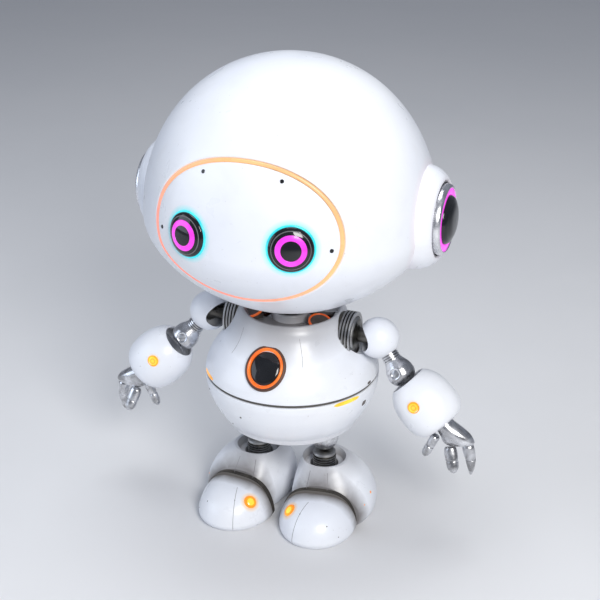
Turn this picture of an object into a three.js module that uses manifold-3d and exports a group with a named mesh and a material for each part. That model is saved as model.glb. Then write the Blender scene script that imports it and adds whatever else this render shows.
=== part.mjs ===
// Tabletop humanoid robot kit, built as separate shells, lights, links and covers.
// Millimetres, +Z up, the robot faces -Y and its left side is +X. The ground is z = 0.

import * as THREE from 'three';
import { mergeVertices } from 'three/addons/utils/BufferGeometryUtils.js';
import Module from 'manifold-3d';

const wasm = await Module();
wasm.setup();

// ---------------------------------------------------------------- driving dimensions

const GAP = 0.3; // clearance between touching pieces
const WALL = 2.4; // moulded shell thickness
const FAR = 140; // reach of a cutting block that passes right through a piece
const OUTER = 32; // facets round a large outer surface
const INNER = 18; // facets round its hidden inner surface
const SMALL = 18; // facets round a small ring or lens
const SIDES = { left: 1, right: -1 };

const HEAD = { z: 204.25, rx: 88.8, ry: 86.4, rise: 95.75, drop: 61.1, topPower: 2.06, lowPower: 1.63 };
const COVER_SEAM_Y = 43; // the rear head cover starts behind this plane
const NECK_OPENING_R = 15;

const FACE = { z: 11.25, halfWidth: 57.3, rise: 44.8, drop: 41.1, risePower: 2.07, dropPower: 1.93 };
const TRIM = 1.6; // width of the light line round the face
const SENSOR_R = 1.1;
const SENSORS = [[23.2, 46.35], [51.1, 8.85]]; // x and height above the head's centre

const EYE = { x: 31.2, z: 10.65, lensR: 12.9, glowR: 14, irisIn: 5.75, irisOut: 9, proud: 3.6 };
const EAR = { y: 5, z: 5.75, r: 31, lip: 93.2, pocketR: 22.6, bezelR: 21.4, face: 96.6, lightR: 18.6,
  lensR: 14.6, tip: 101.2 };

const NECK = { pivotZ: 146, postR: 7.2, collarR: 11.6, collarTop: 139.2, collarBase: 131.5 };

const TORSO_Y = 2.5; // the torso's axis lies this far behind the origin
const WAIST = { z: 98, r: 55.2, gasket: 1.3, inset: 0.7 };
const BELLY = [[9, 51.7], [19, 53.4], [29, 57], [38, 62.4], [46, 70.6], [52, 81.5], [54.7, 91]];
const CHEST = [[53.8, 105.4], [50, 112.8], [45, 119], [40.2, 125.4], [36.8, 131.4], [34.6, 136.6],
  [32.4, 140.6]];
const DISH = { r: 29.6, depth: 6.5 }; // hollow round the neck
const CHEST_TOP = CHEST[CHEST.length - 1][1];
const DISH_FLOOR = CHEST_TOP - DISH.depth;
const CHEST_LIGHT = { z: 118.2, lean: 52, squeeze: 0.89, ringOut: 13.2, ringIn: 10.7, lensR: 10.4,
  proud: 1.8 };

const SHOULDER = { x: 56.8, y: 3, z: 127.4, r: 12.8, wall: 1.8, drumR: 11.2, bore: 11.8, stubR: 4.4,
  knuckleR: 6.2,
  slotHalfWidth: 10.6, slotHalfHeight: 7.8, slotTurn: 43 };
const ELBOW = new THREE.Vector3(72.9, -1, 108.1);
const ELBOW_R = 8.7;
const FOREARM_AXIS = new THREE.Vector3(0.717, -0.086, -0.692).normalize();
const FOREARM = [[12, 6.6], [14.2, 9], [16.6, 13], [18.3, 18.5], [18.9, 25.5], [18.5, 31.5],
  [17.2, 36.4], [14.6, 39.6], [9.2, 41]];
const WRIST_HOLE_R = 9.2;
const FOREARM_WALL = 2.2;
const FOREARM_LIGHT = { at: new THREE.Vector3(87.2, -18.2, 96.3), r: 3.6 };
const WRIST = new THREE.Vector3(102, -4.5, 80.5);
const HAND_AXIS = new THREE.Vector3(0.15, -0.05, -0.987).normalize();
// Digits: [from the root, bend, half width, half depth] stations, and where each root and tip lies.
const THUMB = { root: [98.6, -7.8, 72.4], tip: [91.8, -8, 57.4], sizes: [[0, 0, 2.3, 2.3],
  [0.08, 0, 2.9, 2.9], [0.46, 0, 2.8, 2.8], [0.5, 0, 2.5, 2.5], [0.55, 0, 2.9, 2.9],
  [0.85, 0, 2.7, 2.7], [1, 0, 1.3, 1.3]] };
const FINGER_FRONT = { root: [107.5, -6.9, 66.2], tip: [112, -12.2, 51.6], sizes: [[0, 0, 2.9, 2.2],
  [0.12, 0, 3.9, 3.1], [0.55, 0, 4, 3], [0.85, 0, 3.4, 2.6], [1, 0, 1.8, 1.4]] };
const FINGER_REAR = { root: [118, -4.4, 68.2], tip: [120.4, -1.4, 45.8], sizes: [[0, 0, 2.8, 2.2],
  [0.1, 0.2, 3.8, 3.2], [0.5, 0.9, 3.3, 2.9], [0.8, 0.6, 2.1, 2.1], [1, 0, 0.6, 0.6]] };
// The palm in the same terms, measured from the wrist.
const PALM = [[-4, -1, 5, 5], [0, 0.5, 7, 6], [4, 4, 8.4, 6.4], [8, 7, 9.6, 6.2], [12, 8.6, 10, 5.4],
  [13.8, 9, 9.2, 4.2]];

const ANKLE = { x: 22.9, y: 0.5, toeOut: 7.7, postR: 7.6 };
const HIP = { z: 52, r: 9 };
const BOOT = { top: 37.4, collarR: 14, collarDepth: 5.2, capPlane: -24.4, bellowsPlane: -20.6 };
const TOE = { x: 1.4, y: -22, height: 23, outer: 25.6, inner: 25.4, front: 33, back: 14 };
const BELLOWS = { inset: 0.9, rise: 1.13 }; // inside the toe's outline, standing above it
const FOOT_LIGHT = { x: -13.7, y: -36.4, z: 15.4, r: 3.9 };
// The boot's section at a height: how far it reaches to each side, to the front and to the back of the ankle.
const BOOT_OUTER = [[0, 31.5], [3, 33.6], [9, 34.4], [16, 33], [24, 29], [30, 24], [34.5, 19],
  [BOOT.top, 16]];
const BOOT_INNER = [[0, 18.2], [3, 19.8], [9, 20.4], [16, 20], [24, 18.4], [30, 16.6], [34.5, 15],
  [BOOT.top, 14]];
const BOOT_FRONT = [[0, 31], [9, 31], [16, 27.5], [22, 24], [28, 19.6], [33, 16.4], [BOOT.top, 14.6]];
const BOOT_BACK = [[0, 31], [3, 33.6], [9, 34.6], [16, 33.4], [24, 29.2], [30, 24], [34.5, 19],
  [BOOT.top, 16.2]];

// ---------------------------------------------------------------- materials

const material = (color, roughness, metalness) => (
  new THREE.MeshStandardMaterial({ color, roughness, metalness }));
const whiteShell = () => material(0xeef0f6, 0.22, 0);
const wornMetal = () => material(0x9fa2a6, 0.3, 1);
const darkMetal = () => material(0x55524c, 0.4, 1);
const darkRubber = () => material(0x2b2926, 0.75, 0);
const blackLens = () => material(0x101114, 0.06, 0);
const innerPlastic = () => material(0x30343a, 0.6, 0);
const glow = (color) => material(color, 0.35, 0);

// ---------------------------------------------------------------- solids

const UP = new THREE.Vector3(0, 0, 1);
const OUT = new THREE.Vector3(1, 0, 0); // towards the robot's left, the side that is built
const BACK = new THREE.Vector3(0, 1, 0);

// A closed three.js geometry as a solid that can be joined and cut.
function solid(geometry) {
  geometry.deleteAttribute('normal');
  geometry.deleteAttribute('uv');
  const merged = mergeVertices(geometry, 1e-4);
  const corners = merged.index.array;
  const kept = [];
  for (let i = 0; i < corners.length; i += 3) {
    const [a, b, c] = corners.slice(i, i + 3);
    if (a !== b && b !== c && c !== a) kept.push(a, b, c);
  }
  const vertProperties = new Float32Array(merged.attributes.position.array);
  return new wasm.Manifold(new wasm.Mesh({ numProp: 3, vertProperties, triVerts: new Uint32Array(kept) }));
}

const cut = (body, ...tools) => tools.reduce((left, tool) => left.subtract(tool), body);
const join = (body, ...others) => others.reduce((sum, other) => sum.add(other), body);

// A solid of revolution about Z. The profile is [radius, height] pairs from the lower to the upper end.
function lathe(profile, segments = 28) {
  const points = profile.map(([r, z]) => new THREE.Vector2(r, z));
  return solid(new THREE.LatheGeometry(points, segments).rotateX(Math.PI / 2));
}

// The same with its ends closed on the axis.
function turned(profile, segments) {
  return lathe([[0, profile[0][1]], ...profile, [0, profile.at(-1)[1]]], segments);
}

// A ring of revolution whose section is a closed outline.
function ring(inner, outer, low, high, segments) {
  return lathe([[inner, low], [outer, low], [outer, high], [inner, high], [inner, low]], segments);
}

function block(sx, sy, sz, x, y, z) {
  return solid(new THREE.BoxGeometry(sx, sy, sz).translate(x, y, z));
}

// A cylinder from one point along a direction.
function rod(radius, from, direction, length, segments = 24) {
  const geometry = new THREE.CylinderGeometry(radius, radius, length, segments);
  geometry.translate(0, length / 2, 0);
  geometry.applyQuaternion(new THREE.Quaternion().setFromUnitVectors(new THREE.Vector3(0, 1, 0),
    direction.clone().normalize()));
  return solid(geometry.translate(from.x, from.y, from.z));
}

function ball(radius, x, y, z, segments = 24) {
  return solid(new THREE.SphereGeometry(radius, segments, segments / 2).translate(x, y, z));
}

// A tube-like solid from t = 0 to t = 1 whose section at t is placed by a function of angle and t.
function lofted(section, segments = 28, rows = 8) {
  const geometry = new THREE.CylinderGeometry(1, 1, 1, segments, rows);
  const at = geometry.attributes.position;
  for (let i = 0; i < at.count; i += 1) {
    const reach = Math.hypot(at.getX(i), at.getZ(i));
    const angle = Math.atan2(at.getX(i), -at.getZ(i));
    const point = section(angle, at.getY(i) + 0.5, reach);
    at.setXYZ(i, point.x, point.y, point.z);
  }
  return solid(geometry);
}

function mesh(name, body, look, side = 1) {
  const { numProp, vertProperties, triVerts } = body.getMesh();
  const positions = new Float32Array(vertProperties.length / numProp * 3);
  for (let i = 0; i < positions.length / 3; i += 1) {
    positions[3 * i] = vertProperties[numProp * i] * side;
    positions[3 * i + 1] = vertProperties[numProp * i + 1];
    positions[3 * i + 2] = vertProperties[numProp * i + 2];
  }
  const corners = Array.from(triVerts);
  const geometry = new THREE.BufferGeometry();
  geometry.setAttribute('position', new THREE.BufferAttribute(positions, 3));
  geometry.setIndex(side > 0 ? corners : corners.reverse());
  geometry.computeVertexNormals();
  const piece = new THREE.Mesh(geometry, look);
  piece.name = name;
  return piece;
}

// A group at a place on the robot's left with its Z axis along a direction, or the mirror image on its right.
function frameAt(side, position, zAxis, xHint = new THREE.Vector3(1, 0, 0)) {
  const z = zAxis.clone().normalize();
  const y = z.clone().cross(xHint).normalize();
  const x = y.clone().cross(z);
  const group = new THREE.Group();
  group.quaternion.setFromRotationMatrix(new THREE.Matrix4().makeBasis(x, y, z));
  group.quaternion.y *= side;
  group.quaternion.z *= side;
  group.position.set(position.x * side, position.y, position.z);
  return group;
}

// Values read off a list of [key, value] stops, with straight runs between them.
function between(stops, key) {
  const next = stops.findIndex(([stop]) => stop >= key);
  if (next === 0) return stops[0][1];
  if (next < 0) return stops.at(-1)[1];
  const [[k0, v0], [k1, v1]] = stops.slice(next - 1, next + 1);
  return v0 + (v1 - v0) * (key - k0) / (k1 - k0);
}

// ---------------------------------------------------------------- head

// The head's surface, moved inwards by an inset, about its own centre.
function headForm(inset, segments, rows) {
  const r = HEAD.rx - inset;
  const profile = [];
  for (let i = 0; i <= rows; i += 1) {
    const angle = Math.PI * (i / rows - 0.5);
    const up = angle > 0;
    const reach = (up ? HEAD.rise : HEAD.drop) - inset;
    const power = up ? HEAD.topPower : HEAD.lowPower;
    const [c, s] = [Math.cos(angle), Math.abs(Math.sin(angle))];
    const length = ((c / r) ** power + (s / reach) ** power) ** (-1 / power);
    profile.push([i === 0 || i === rows ? 0 : c * length, Math.sin(angle) * length]);
  }
  const points = profile.map(([x, z]) => new THREE.Vector2(x, z));
  const flatten = (HEAD.ry - inset) / r;
  return solid(new THREE.LatheGeometry(points, segments).rotateX(Math.PI / 2).scale(1, flatten, 1));
}

// The front surface above the head's widest line: the point and the outward direction at x and z.
function headFront(x, z) {
  const n = HEAD.topPower;
  const across = (1 - (z / HEAD.rise) ** n) ** (1 / n);
  const y = -HEAD.ry * Math.sqrt(across ** 2 - (x / HEAD.rx) ** 2);
  const level = across ** (n - 2);
  const up = (z / HEAD.rise) ** (n - 1) / HEAD.rise;
  const normal = new THREE.Vector3(level * x / HEAD.rx ** 2, level * y / HEAD.ry ** 2, up).normalize();
  return { point: new THREE.Vector3(x, y, z), normal };
}

// The face outline, moved outwards by a margin, as a block through the front of the head.
function faceBlock(margin) {
  const corners = [];
  const steps = 36;
  for (let i = 0; i < steps; i += 1) {
    const angle = 2 * Math.PI * i / steps;
    const [c, s] = [Math.cos(angle), Math.sin(angle)];
    const reach = (s > 0 ? FACE.rise : FACE.drop) + margin;
    const power = s > 0 ? FACE.risePower : FACE.dropPower;
    const width = FACE.halfWidth + margin;
    const length = ((Math.abs(c) / width) ** power + (Math.abs(s) / reach) ** power) ** (-1 / power);
    corners.push(new THREE.Vector2(c * length, FACE.z + s * length));
  }
  const outline = new THREE.Shape(corners);
  const options = { depth: FAR - 30, bevelEnabled: false };
  return solid(new THREE.ExtrudeGeometry(outline, options).rotateX(Math.PI / 2).translate(0, -30, 0));
}

function eyeFrame(side) {
  const { point, normal } = headFront(EYE.x, EYE.z);
  return frameAt(side, point, normal);
}

function faceHoles() {
  const holes = [];
  for (const side of Object.values(SIDES)) {
    const { point, normal } = headFront(EYE.x, EYE.z);
    const outward = new THREE.Vector3(normal.x * side, normal.y, normal.z);
    const centre = new THREE.Vector3(point.x * side, point.y, point.z);
    holes.push(rod(EYE.glowR + GAP, centre.addScaledVector(outward, -12), outward, 24, SMALL));
    for (const [x, z] of SENSORS) {
      holes.push(rod(SENSOR_R, new THREE.Vector3(x * side, -30, z), new THREE.Vector3(0, -1, 0), FAR, 8));
    }
  }
  return holes;
}

function addHeadShells(head) {
  const wall = cut(headForm(0, OUTER, 12), headForm(WALL, INNER, 8));
  const behind = (y) => block(2 * FAR, FAR, 2 * FAR, 0, y + FAR / 2, 0);
  const neckOpening = rod(NECK_OPENING_R, new THREE.Vector3(0, 0, -FAR), UP, FAR, 28);
  const shell = cut(wall, behind(COVER_SEAM_Y - GAP / 2), faceBlock(0), neckOpening);
  const cover = wall.intersect(behind(COVER_SEAM_Y + GAP / 2));
  const trim = cut(wall.intersect(faceBlock(-GAP)), faceBlock(-GAP - TRIM));
  const plate = cut(wall.intersect(faceBlock(-2 * GAP - TRIM)), ...faceHoles());
  head.add(mesh('head_shell', shell, whiteShell()));
  head.add(mesh('rear_head_cover', cover, whiteShell()));
  head.add(mesh('face_light_ring', trim, glow(0xffc79a)));
  head.add(mesh('face_plate', plate, whiteShell()));
}

// A dished tray that fits the inside of the head over the neck opening and carries the shells.
function addHeadBracket(head) {
  const tray = rod(36, new THREE.Vector3(0, 0, -54), UP, 7, 18);
  const well = rod(26, new THREE.Vector3(0, 0, -50), UP, 8, 18);
  const bracket = cut(tray.intersect(headForm(WALL + GAP, INNER, 8)), well);
  head.add(mesh('head_bracket', bracket, innerPlastic()));
}

function addEye(head, sideName) {
  const eye = eyeFrame(SIDES[sideName]);
  const domeAt = (r) => 0.9 + EYE.proud * Math.sqrt(Math.max(0, 1 - (r / EYE.lensR) ** 2));
  const dome = [12, EYE.irisOut + GAP].map((r) => [r, domeAt(r)]);
  const middle = [EYE.irisIn - GAP, 3.2].map((r) => [r, domeAt(r)]);
  const floor = domeAt(EYE.irisOut) - 1.2;
  const lens = lathe([[0, -5], [EYE.lensR, -5], [EYE.lensR, 0.6], ...dome, [EYE.irisOut + GAP, floor],
    [EYE.irisIn - GAP, floor], ...middle, [0, domeAt(0)]], SMALL);
  const iris = lathe([[EYE.irisIn, floor + GAP], [EYE.irisOut, floor + GAP],
    [EYE.irisOut, domeAt(EYE.irisOut)], [EYE.irisIn, domeAt(EYE.irisIn)],
    [EYE.irisIn, floor + GAP]], SMALL);
  eye.add(mesh(`eye_lens_${sideName}`, lens, blackLens()));
  eye.add(mesh(`eye_iris_ring_${sideName}`, iris, glow(0xff3cf0)));
  eye.add(mesh(`eye_glow_ring_${sideName}`, ring(EYE.lensR + GAP, EYE.glowR, -3.5, 0.5, SMALL),
    glow(0x66f0fa)));
  head.add(eye);
}

function addEar(head, sideName) {
  const side = SIDES[sideName];
  const ear = frameAt(side, new THREE.Vector3(0, EAR.y, EAR.z), OUT, BACK);
  // The head's surface in the ear's frame, whose Z axis runs outwards along X.
  const skin = headForm(-GAP, OUTER, 12).translate([0, -EAR.y, -EAR.z]).transform(
    [0, 0, 1, 0, 1, 0, 0, 0, 0, 1, 0, 0, 0, 0, 0, 1]);
  const lip = EAR.lip;
  const housing = lathe([[EAR.pocketR, 70], [EAR.r, 70], [EAR.r + 0.3, lip - 14],
    [EAR.r - 0.7, lip - 9], [EAR.r - 2.6, lip - 4.6], [EAR.r - 5.4, lip - 1.3],
    [EAR.pocketR + 0.8, lip], [EAR.pocketR, lip - 0.6], [EAR.pocketR, 70]], 28);
  const face = EAR.face;
  const bezel = lathe([[0, 80], [EAR.bezelR, 80], [EAR.bezelR, face - 5], [EAR.bezelR - 0.9, face - 1.4],
    [EAR.lightR + GAP, face], [EAR.lightR + GAP, face - 2], [0, face - 2]], SMALL);
  const light = ring(EAR.lensR + GAP, EAR.lightR, face - 2 + GAP, face - 0.3, SMALL);
  const lens = lathe([[0, face - 2 + GAP], [EAR.lensR, face - 2 + GAP], [EAR.lensR, face + 0.4],
    [EAR.lensR * 0.84, face + 2.4], [EAR.lensR * 0.5, EAR.tip - 0.7], [0, EAR.tip]], SMALL);
  ear.add(mesh(`ear_housing_${sideName}`, cut(housing, skin), whiteShell(), side));
  ear.add(mesh(`ear_bezel_${sideName}`, cut(bezel, skin), wornMetal(), side));
  ear.add(mesh(`ear_light_ring_${sideName}`, light, glow(0xff3cf0), side));
  ear.add(mesh(`ear_lens_${sideName}`, lens, blackLens(), side));
  head.add(ear);
}

function buildHead() {
  const head = new THREE.Group();
  head.position.z = HEAD.z;
  addHeadShells(head);
  addHeadBracket(head);
  for (const sideName of Object.keys(SIDES)) {
    addEye(head, sideName);
    addEar(head, sideName);
  }
  return head;
}

// ---------------------------------------------------------------- torso

const inward = (profile, wall) => profile.map(([r, z]) => [Math.max(0, r - wall), z]);

// Places a turned solid on the sloping chest, its axis square to the surface and its width drawn in.
function onChest(body) {
  const r = between(CHEST.map(([radius, z]) => [z, radius]), CHEST_LIGHT.z);
  return body.scale([CHEST_LIGHT.squeeze, 1, 1]).rotate([CHEST_LIGHT.lean, 0, 0])
    .translate([0, -r, CHEST_LIGHT.z]);
}

function addUpperShell(torso) {
  const low = WAIST.z + WAIST.gasket / 2 + GAP;
  const outer = turned([[WAIST.r, low], ...CHEST], OUTER);
  const inner = turned([[WAIST.r - WALL, low - 1], ...inward(CHEST.slice(0, 5), WALL),
    [30, DISH_FLOOR - WALL]], INNER);
  const dish = turned([[16, DISH_FLOOR], [DISH.r - 4, DISH_FLOOR + 1.2], [DISH.r, 142]], 26);
  const neckHole = rod(NECK.collarR + GAP, new THREE.Vector3(0, -TORSO_Y, 110), UP, 60, SMALL);
  const socketAt = new THREE.Vector3(0, SHOULDER.y - TORSO_Y, SHOULDER.z);
  const sockets = Object.values(SIDES).map((side) => (
    rod(SHOULDER.bore, socketAt, new THREE.Vector3(side, 0, 0), FAR, SMALL)));
  const lensR = CHEST_LIGHT.ringOut + GAP;
  const lensHole = onChest(turned([[lensR, -12], [lensR, 28]], SMALL));
  const shell = cut(outer, inner, dish, neckHole, ...sockets, lensHole);
  torso.add(mesh('torso_upper_shell', shell, whiteShell()));
}

function addLowerShell(torso) {
  const high = WAIST.z - WAIST.gasket / 2 - GAP;
  const outer = turned([...BELLY, [WAIST.r, high]], OUTER);
  const inner = turned([[9, 54.1], [19, 56], ...inward(BELLY.slice(2), WALL).map(([r, z]) => [r, z + 0.9]),
    [WAIST.r - WALL, high + 1]], INNER);
  const sockets = Object.values(SIDES).map((side) => (
    ball(HIP.r + 0.5, side * ANKLE.x, ANKLE.y - TORSO_Y, HIP.z, 18)));
  torso.add(mesh('torso_lower_shell', cut(outer, inner, ...sockets), whiteShell()));
}

function addWaistGasket(torso) {
  const half = WAIST.gasket / 2;
  const outer = WAIST.r - WAIST.inset;
  const seal = ring(WAIST.r - WALL - 3, outer, WAIST.z - half, WAIST.z + half, 24);
  torso.add(mesh('waist_gasket', seal, darkRubber()));
}

function addChestLight(torso) {
  const { ringOut, ringIn, lensR, proud } = CHEST_LIGHT;
  const bezel = lathe([[ringIn, -6], [ringOut, -6], [ringOut, 0.4], [ringOut - 0.8, 1.2],
    [ringIn + 0.5, 1.2], [ringIn, 0.8], [ringIn, -6]], SMALL);
  const lens = lathe([[0, -6], [lensR, -6], [lensR, 0], [lensR * 0.8, 0.9],
    [lensR * 0.45, proud - 0.2], [0, proud]], SMALL);
  torso.add(mesh('chest_light_ring', onChest(bezel), glow(0xff8a2a)));
  torso.add(mesh('chest_lens', onChest(lens), blackLens()));
}

// The collar the neck turns in, with a flange under the shell.
function addNeckCollar(torso) {
  const { collarR, collarTop, collarBase, postR } = NECK;
  const bore = postR + 0.5;
  const collar = lathe([[bore, collarBase - 1.8], [collarR + 4, collarBase - 1.8],
    [collarR + 4, collarBase - 0.3], [collarR, collarBase - 0.3], [collarR, collarTop - 1.4],
    [collarR - 1.2, collarTop], [bore, collarTop], [bore, collarBase - 1.8]], SMALL);
  const piece = mesh('neck_collar', collar, wornMetal());
  piece.position.y = -TORSO_Y;
  torso.add(piece);
}

// Parts inside the torso: a frame with two decks, the neck servo, the battery and the control board.
function addTorsoInside(torso) {
  const decks = join(block(62, 40, 2, 0, 0, 104), block(12, 8, 20, 0, 12, 93.2), block(50, 34, 2, 0, 0, 84));
  const servo = join(block(23, 12, 22, 0, -TORSO_Y, 117), block(32, 12, 2.4, 0, -TORSO_Y, 122));
  torso.add(mesh('torso_frame', decks, innerPlastic()));
  torso.add(mesh('neck_servo', servo, innerPlastic()));
  torso.add(mesh('battery_pack', block(46, 26, 16, 0, 0, 74.5), innerPlastic()));
  torso.add(mesh('control_board', block(54, 1.6, 11, 0, -15, 91), innerPlastic()));
}

function buildTorso() {
  const torso = new THREE.Group();
  torso.position.y = TORSO_Y;
  addUpperShell(torso);
  addLowerShell(torso);
  addWaistGasket(torso);
  addChestLight(torso);
  addNeckCollar(torso);
  addTorsoInside(torso);
  return torso;
}

function buildNeckPost() {
  const { postR, pivotZ } = NECK;
  const post = turned([[postR, 131], [postR, 140], [postR - 1.4, 141], [postR - 1.4, 142.6],
    [postR - 0.2, 143.6], [postR - 0.2, pivotZ + 0.6], [postR - 2.2, pivotZ + 1.8]], 16);
  return mesh('neck_post', post, darkMetal());
}

// ---------------------------------------------------------------- arms

// The drum that turns in the torso's side, with the stub and knuckle that carry the shoulder ball.
function shoulderMount() {
  const face = -13.4; // in front of the ball's surface, measured from its centre
  const { drumR, stubR, knuckleR } = SHOULDER;
  return turned([[drumR - 2, -24], [drumR, -23], [drumR, -17], [drumR - 0.8, -16.4],
    [drumR - 0.8, face - 1.2], [drumR - 2.6, face], [6, face], [stubR, face + 1.8],
    [stubR, -4.6], [knuckleR, -1], [knuckleR - 1, 3.6], [3, 5.4]], 16);
}

function armAxis() {
  return ELBOW.clone().sub(new THREE.Vector3(SHOULDER.x, SHOULDER.y, SHOULDER.z));
}

// A hollow ball with a slot from its inner side round to the front, so that the arm can sweep forwards.
function shoulderBall() {
  const centre = new THREE.Vector3();
  const slot = new THREE.CylinderGeometry(1, 1, 20, 20).translate(0, 10, 0).rotateZ(Math.PI / 2);
  slot.scale(1, SHOULDER.slotHalfWidth, SHOULDER.slotHalfHeight);
  slot.rotateZ(THREE.MathUtils.degToRad(SHOULDER.slotTurn / 2));
  const armHole = rod(5.9, centre, armAxis(), 20, 16);
  const hollow = ball(SHOULDER.r - SHOULDER.wall, 0, 0, 0, 12);
  return cut(ball(SHOULDER.r, 0, 0, 0, 18), hollow, solid(slot), armHole);
}

function upperArm() {
  const length = armAxis().length();
  return turned([[4.8, 8.4], [5.6, 9.4], [5.6, 13.2], [5.1, 13.8], [5.7, 14.6], [5.7, 15.6], [5.3, 16.2],
    [7.4, 19.4], [ELBOW_R - 0.2, length - 3], [ELBOW_R, length + 0.6], [7.6, length + 4.2],
    [4.6, length + 7.4]], 16);
}

function forearmShell() {
  const outer = turned(FOREARM, 20);
  const inner = turned([[FOREARM[0][0] - 1.4, 6], [FOREARM[1][0] - FOREARM_WALL, 9.4],
    ...FOREARM.slice(2, 7).map(([r, z]) => [r - FOREARM_WALL, z]), [12, 38.2]], 16);
  const wristHole = rod(WRIST_HOLE_R, new THREE.Vector3(0, 0, 20), UP, 40, 16);
  return cut(outer, inner, wristHole);
}

function addForearm(arm, sideName) {
  const side = SIDES[sideName];
  const forearm = frameAt(side, ELBOW, FOREARM_AXIS, UP);
  const local = frameAt(1, ELBOW, FOREARM_AXIS, UP);
  const at = local.worldToLocal(FOREARM_LIGHT.at.clone());
  const outward = new THREE.Vector3(at.x, at.y, 0).normalize();
  const r = between(FOREARM.map(([radius, z]) => [z, radius]), at.z);
  const seat = new THREE.Vector3(0, 0, at.z).addScaledVector(outward, r - 1.4);
  const pocket = rod(FOREARM_LIGHT.r + GAP, seat, outward, 8, 14);
  forearm.add(mesh(`forearm_shell_${sideName}`, cut(forearmShell(), pocket), whiteShell(), side));
  const foot = seat.clone().addScaledVector(outward, GAP);
  const light = rod(FOREARM_LIGHT.r, foot, outward, 1.4, 14);
  forearm.add(mesh(`forearm_light_${sideName}`, light, glow(0xffc832), side));
  arm.add(forearm);
}

// A tapering, slightly flattened limb along Z that bends as it goes: [along, bend, half width, half depth].
function limb(stations, segments = 12) {
  const column = (k) => stations.map((row) => [row[0], row[k]]);
  const length = stations.at(-1)[0];
  const first = stations[0][0];
  return lofted((angle, t, reach) => {
    const along = first + (length - first) * t;
    const x = between(column(1), along) + reach * between(column(2), along) * Math.sin(angle);
    const y = reach * between(column(3), along) * Math.cos(angle);
    return new THREE.Vector3(x, y, along);
  }, segments, stations.length - 1);
}

function buildArm(sideName) {
  const side = SIDES[sideName];
  const arm = new THREE.Group();
  const shoulderAt = new THREE.Vector3(SHOULDER.x, SHOULDER.y, SHOULDER.z);
  const drum = frameAt(side, shoulderAt, OUT, BACK);
  drum.add(mesh(`shoulder_mount_${sideName}`, shoulderMount(), darkMetal(), side));
  const ballPiece = mesh(`shoulder_ball_${sideName}`, shoulderBall(), whiteShell(), side);
  ballPiece.position.set(SHOULDER.x * side, SHOULDER.y, SHOULDER.z);
  const link = frameAt(side, shoulderAt, armAxis(), UP);
  link.add(mesh(`upper_arm_${sideName}`, upperArm(), wornMetal(), side));
  arm.add(drum, ballPiece, link);
  addForearm(arm, sideName);
  addHand(arm, sideName);
  return arm;
}

function addDigit(arm, name, sideName, { root, tip, sizes }) {
  const side = SIDES[sideName];
  const start = new THREE.Vector3(...root);
  const run = new THREE.Vector3(...tip).sub(start);
  const stations = sizes.map(([t, ...rest]) => [t * run.length(), ...rest]);
  const frame = frameAt(side, start, run);
  frame.add(mesh(`${name}_${sideName}`, limb(stations), wornMetal(), side));
  arm.add(frame);
}

// The palm hangs from the forearm's end and widens outwards to carry the two fingers.
function addHand(arm, sideName) {
  const side = SIDES[sideName];
  const hand = frameAt(side, WRIST, HAND_AXIS);
  hand.add(mesh(`palm_${sideName}`, limb(PALM, 16), wornMetal(), side));
  arm.add(hand);
  addDigit(arm, 'thumb', sideName, THUMB);
  addDigit(arm, 'finger_front', sideName, FINGER_FRONT);
  addDigit(arm, 'finger_rear', sideName, FINGER_REAR);
}

// ---------------------------------------------------------------- legs

// A rounded section whose reach differs to the right, left, front and back.
function quarterRound(angle, right, left, front, back, power) {
  const [c, s] = [Math.cos(angle), Math.sin(angle)];
  const width = s > 0 ? right : left;
  const depth = c > 0 ? back : front;
  const length = ((Math.abs(s) / width) ** power + (Math.abs(c) / depth) ** power) ** (-1 / power);
  return [s * length, c * length];
}

function bootForm(inset, top, segments, rows) {
  return lofted((angle, t, reach) => {
    const z = top * t;
    const side = [BOOT_OUTER, BOOT_INNER, BOOT_FRONT, BOOT_BACK].map((stops) => between(stops, z) - inset);
    const [x, y] = quarterRound(angle, side[0], side[1], side[2], side[3], 2.25);
    return new THREE.Vector3(reach * x, reach * y, z);
  }, segments, rows);
}

// The toe's dome: widest just above the sole, rounded over the top.
function toeForm(inset, segments, rows) {
  const height = TOE.height - inset;
  return lofted((angle, t, reach) => {
    const z = height * Math.sin(t * Math.PI / 2);
    const swell = Math.cos(t * Math.PI / 2) ** 0.62;
    const sole = 1 - 0.09 * Math.max(0, 1 - z / 5) ** 2;
    const [x, y] = quarterRound(angle, TOE.outer - inset, TOE.inner - inset, TOE.front - inset,
      TOE.back, 2.1);
    const k = reach * Math.max(0.02, swell) * sole;
    return new THREE.Vector3(TOE.x + k * x, TOE.y + k * y, z);
  }, segments, rows);
}

const inFrontOf = (y) => block(2 * FAR, FAR, 2 * FAR, 0, y - FAR / 2, 0);

function bootShell() {
  const hollow = bootForm(WALL, 31, 16, 5);
  const collar = turned([[BOOT.collarR - 2, BOOT.top - BOOT.collarDepth], [BOOT.collarR, BOOT.top - 1],
    [BOOT.collarR + 0.4, BOOT.top + 1]], SMALL);
  const floor = block(2 * FAR, 2 * FAR, FAR, 0, 0, 2.6 - FAR / 2);
  const ankleHole = rod(ANKLE.postR + 1.6, new THREE.Vector3(0, 0, 20), UP, 30, 16);
  return cut(bootForm(0, BOOT.top, 24, 8), cut(hollow, floor), inFrontOf(BOOT.bellowsPlane), collar,
    ankleHole);
}

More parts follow.
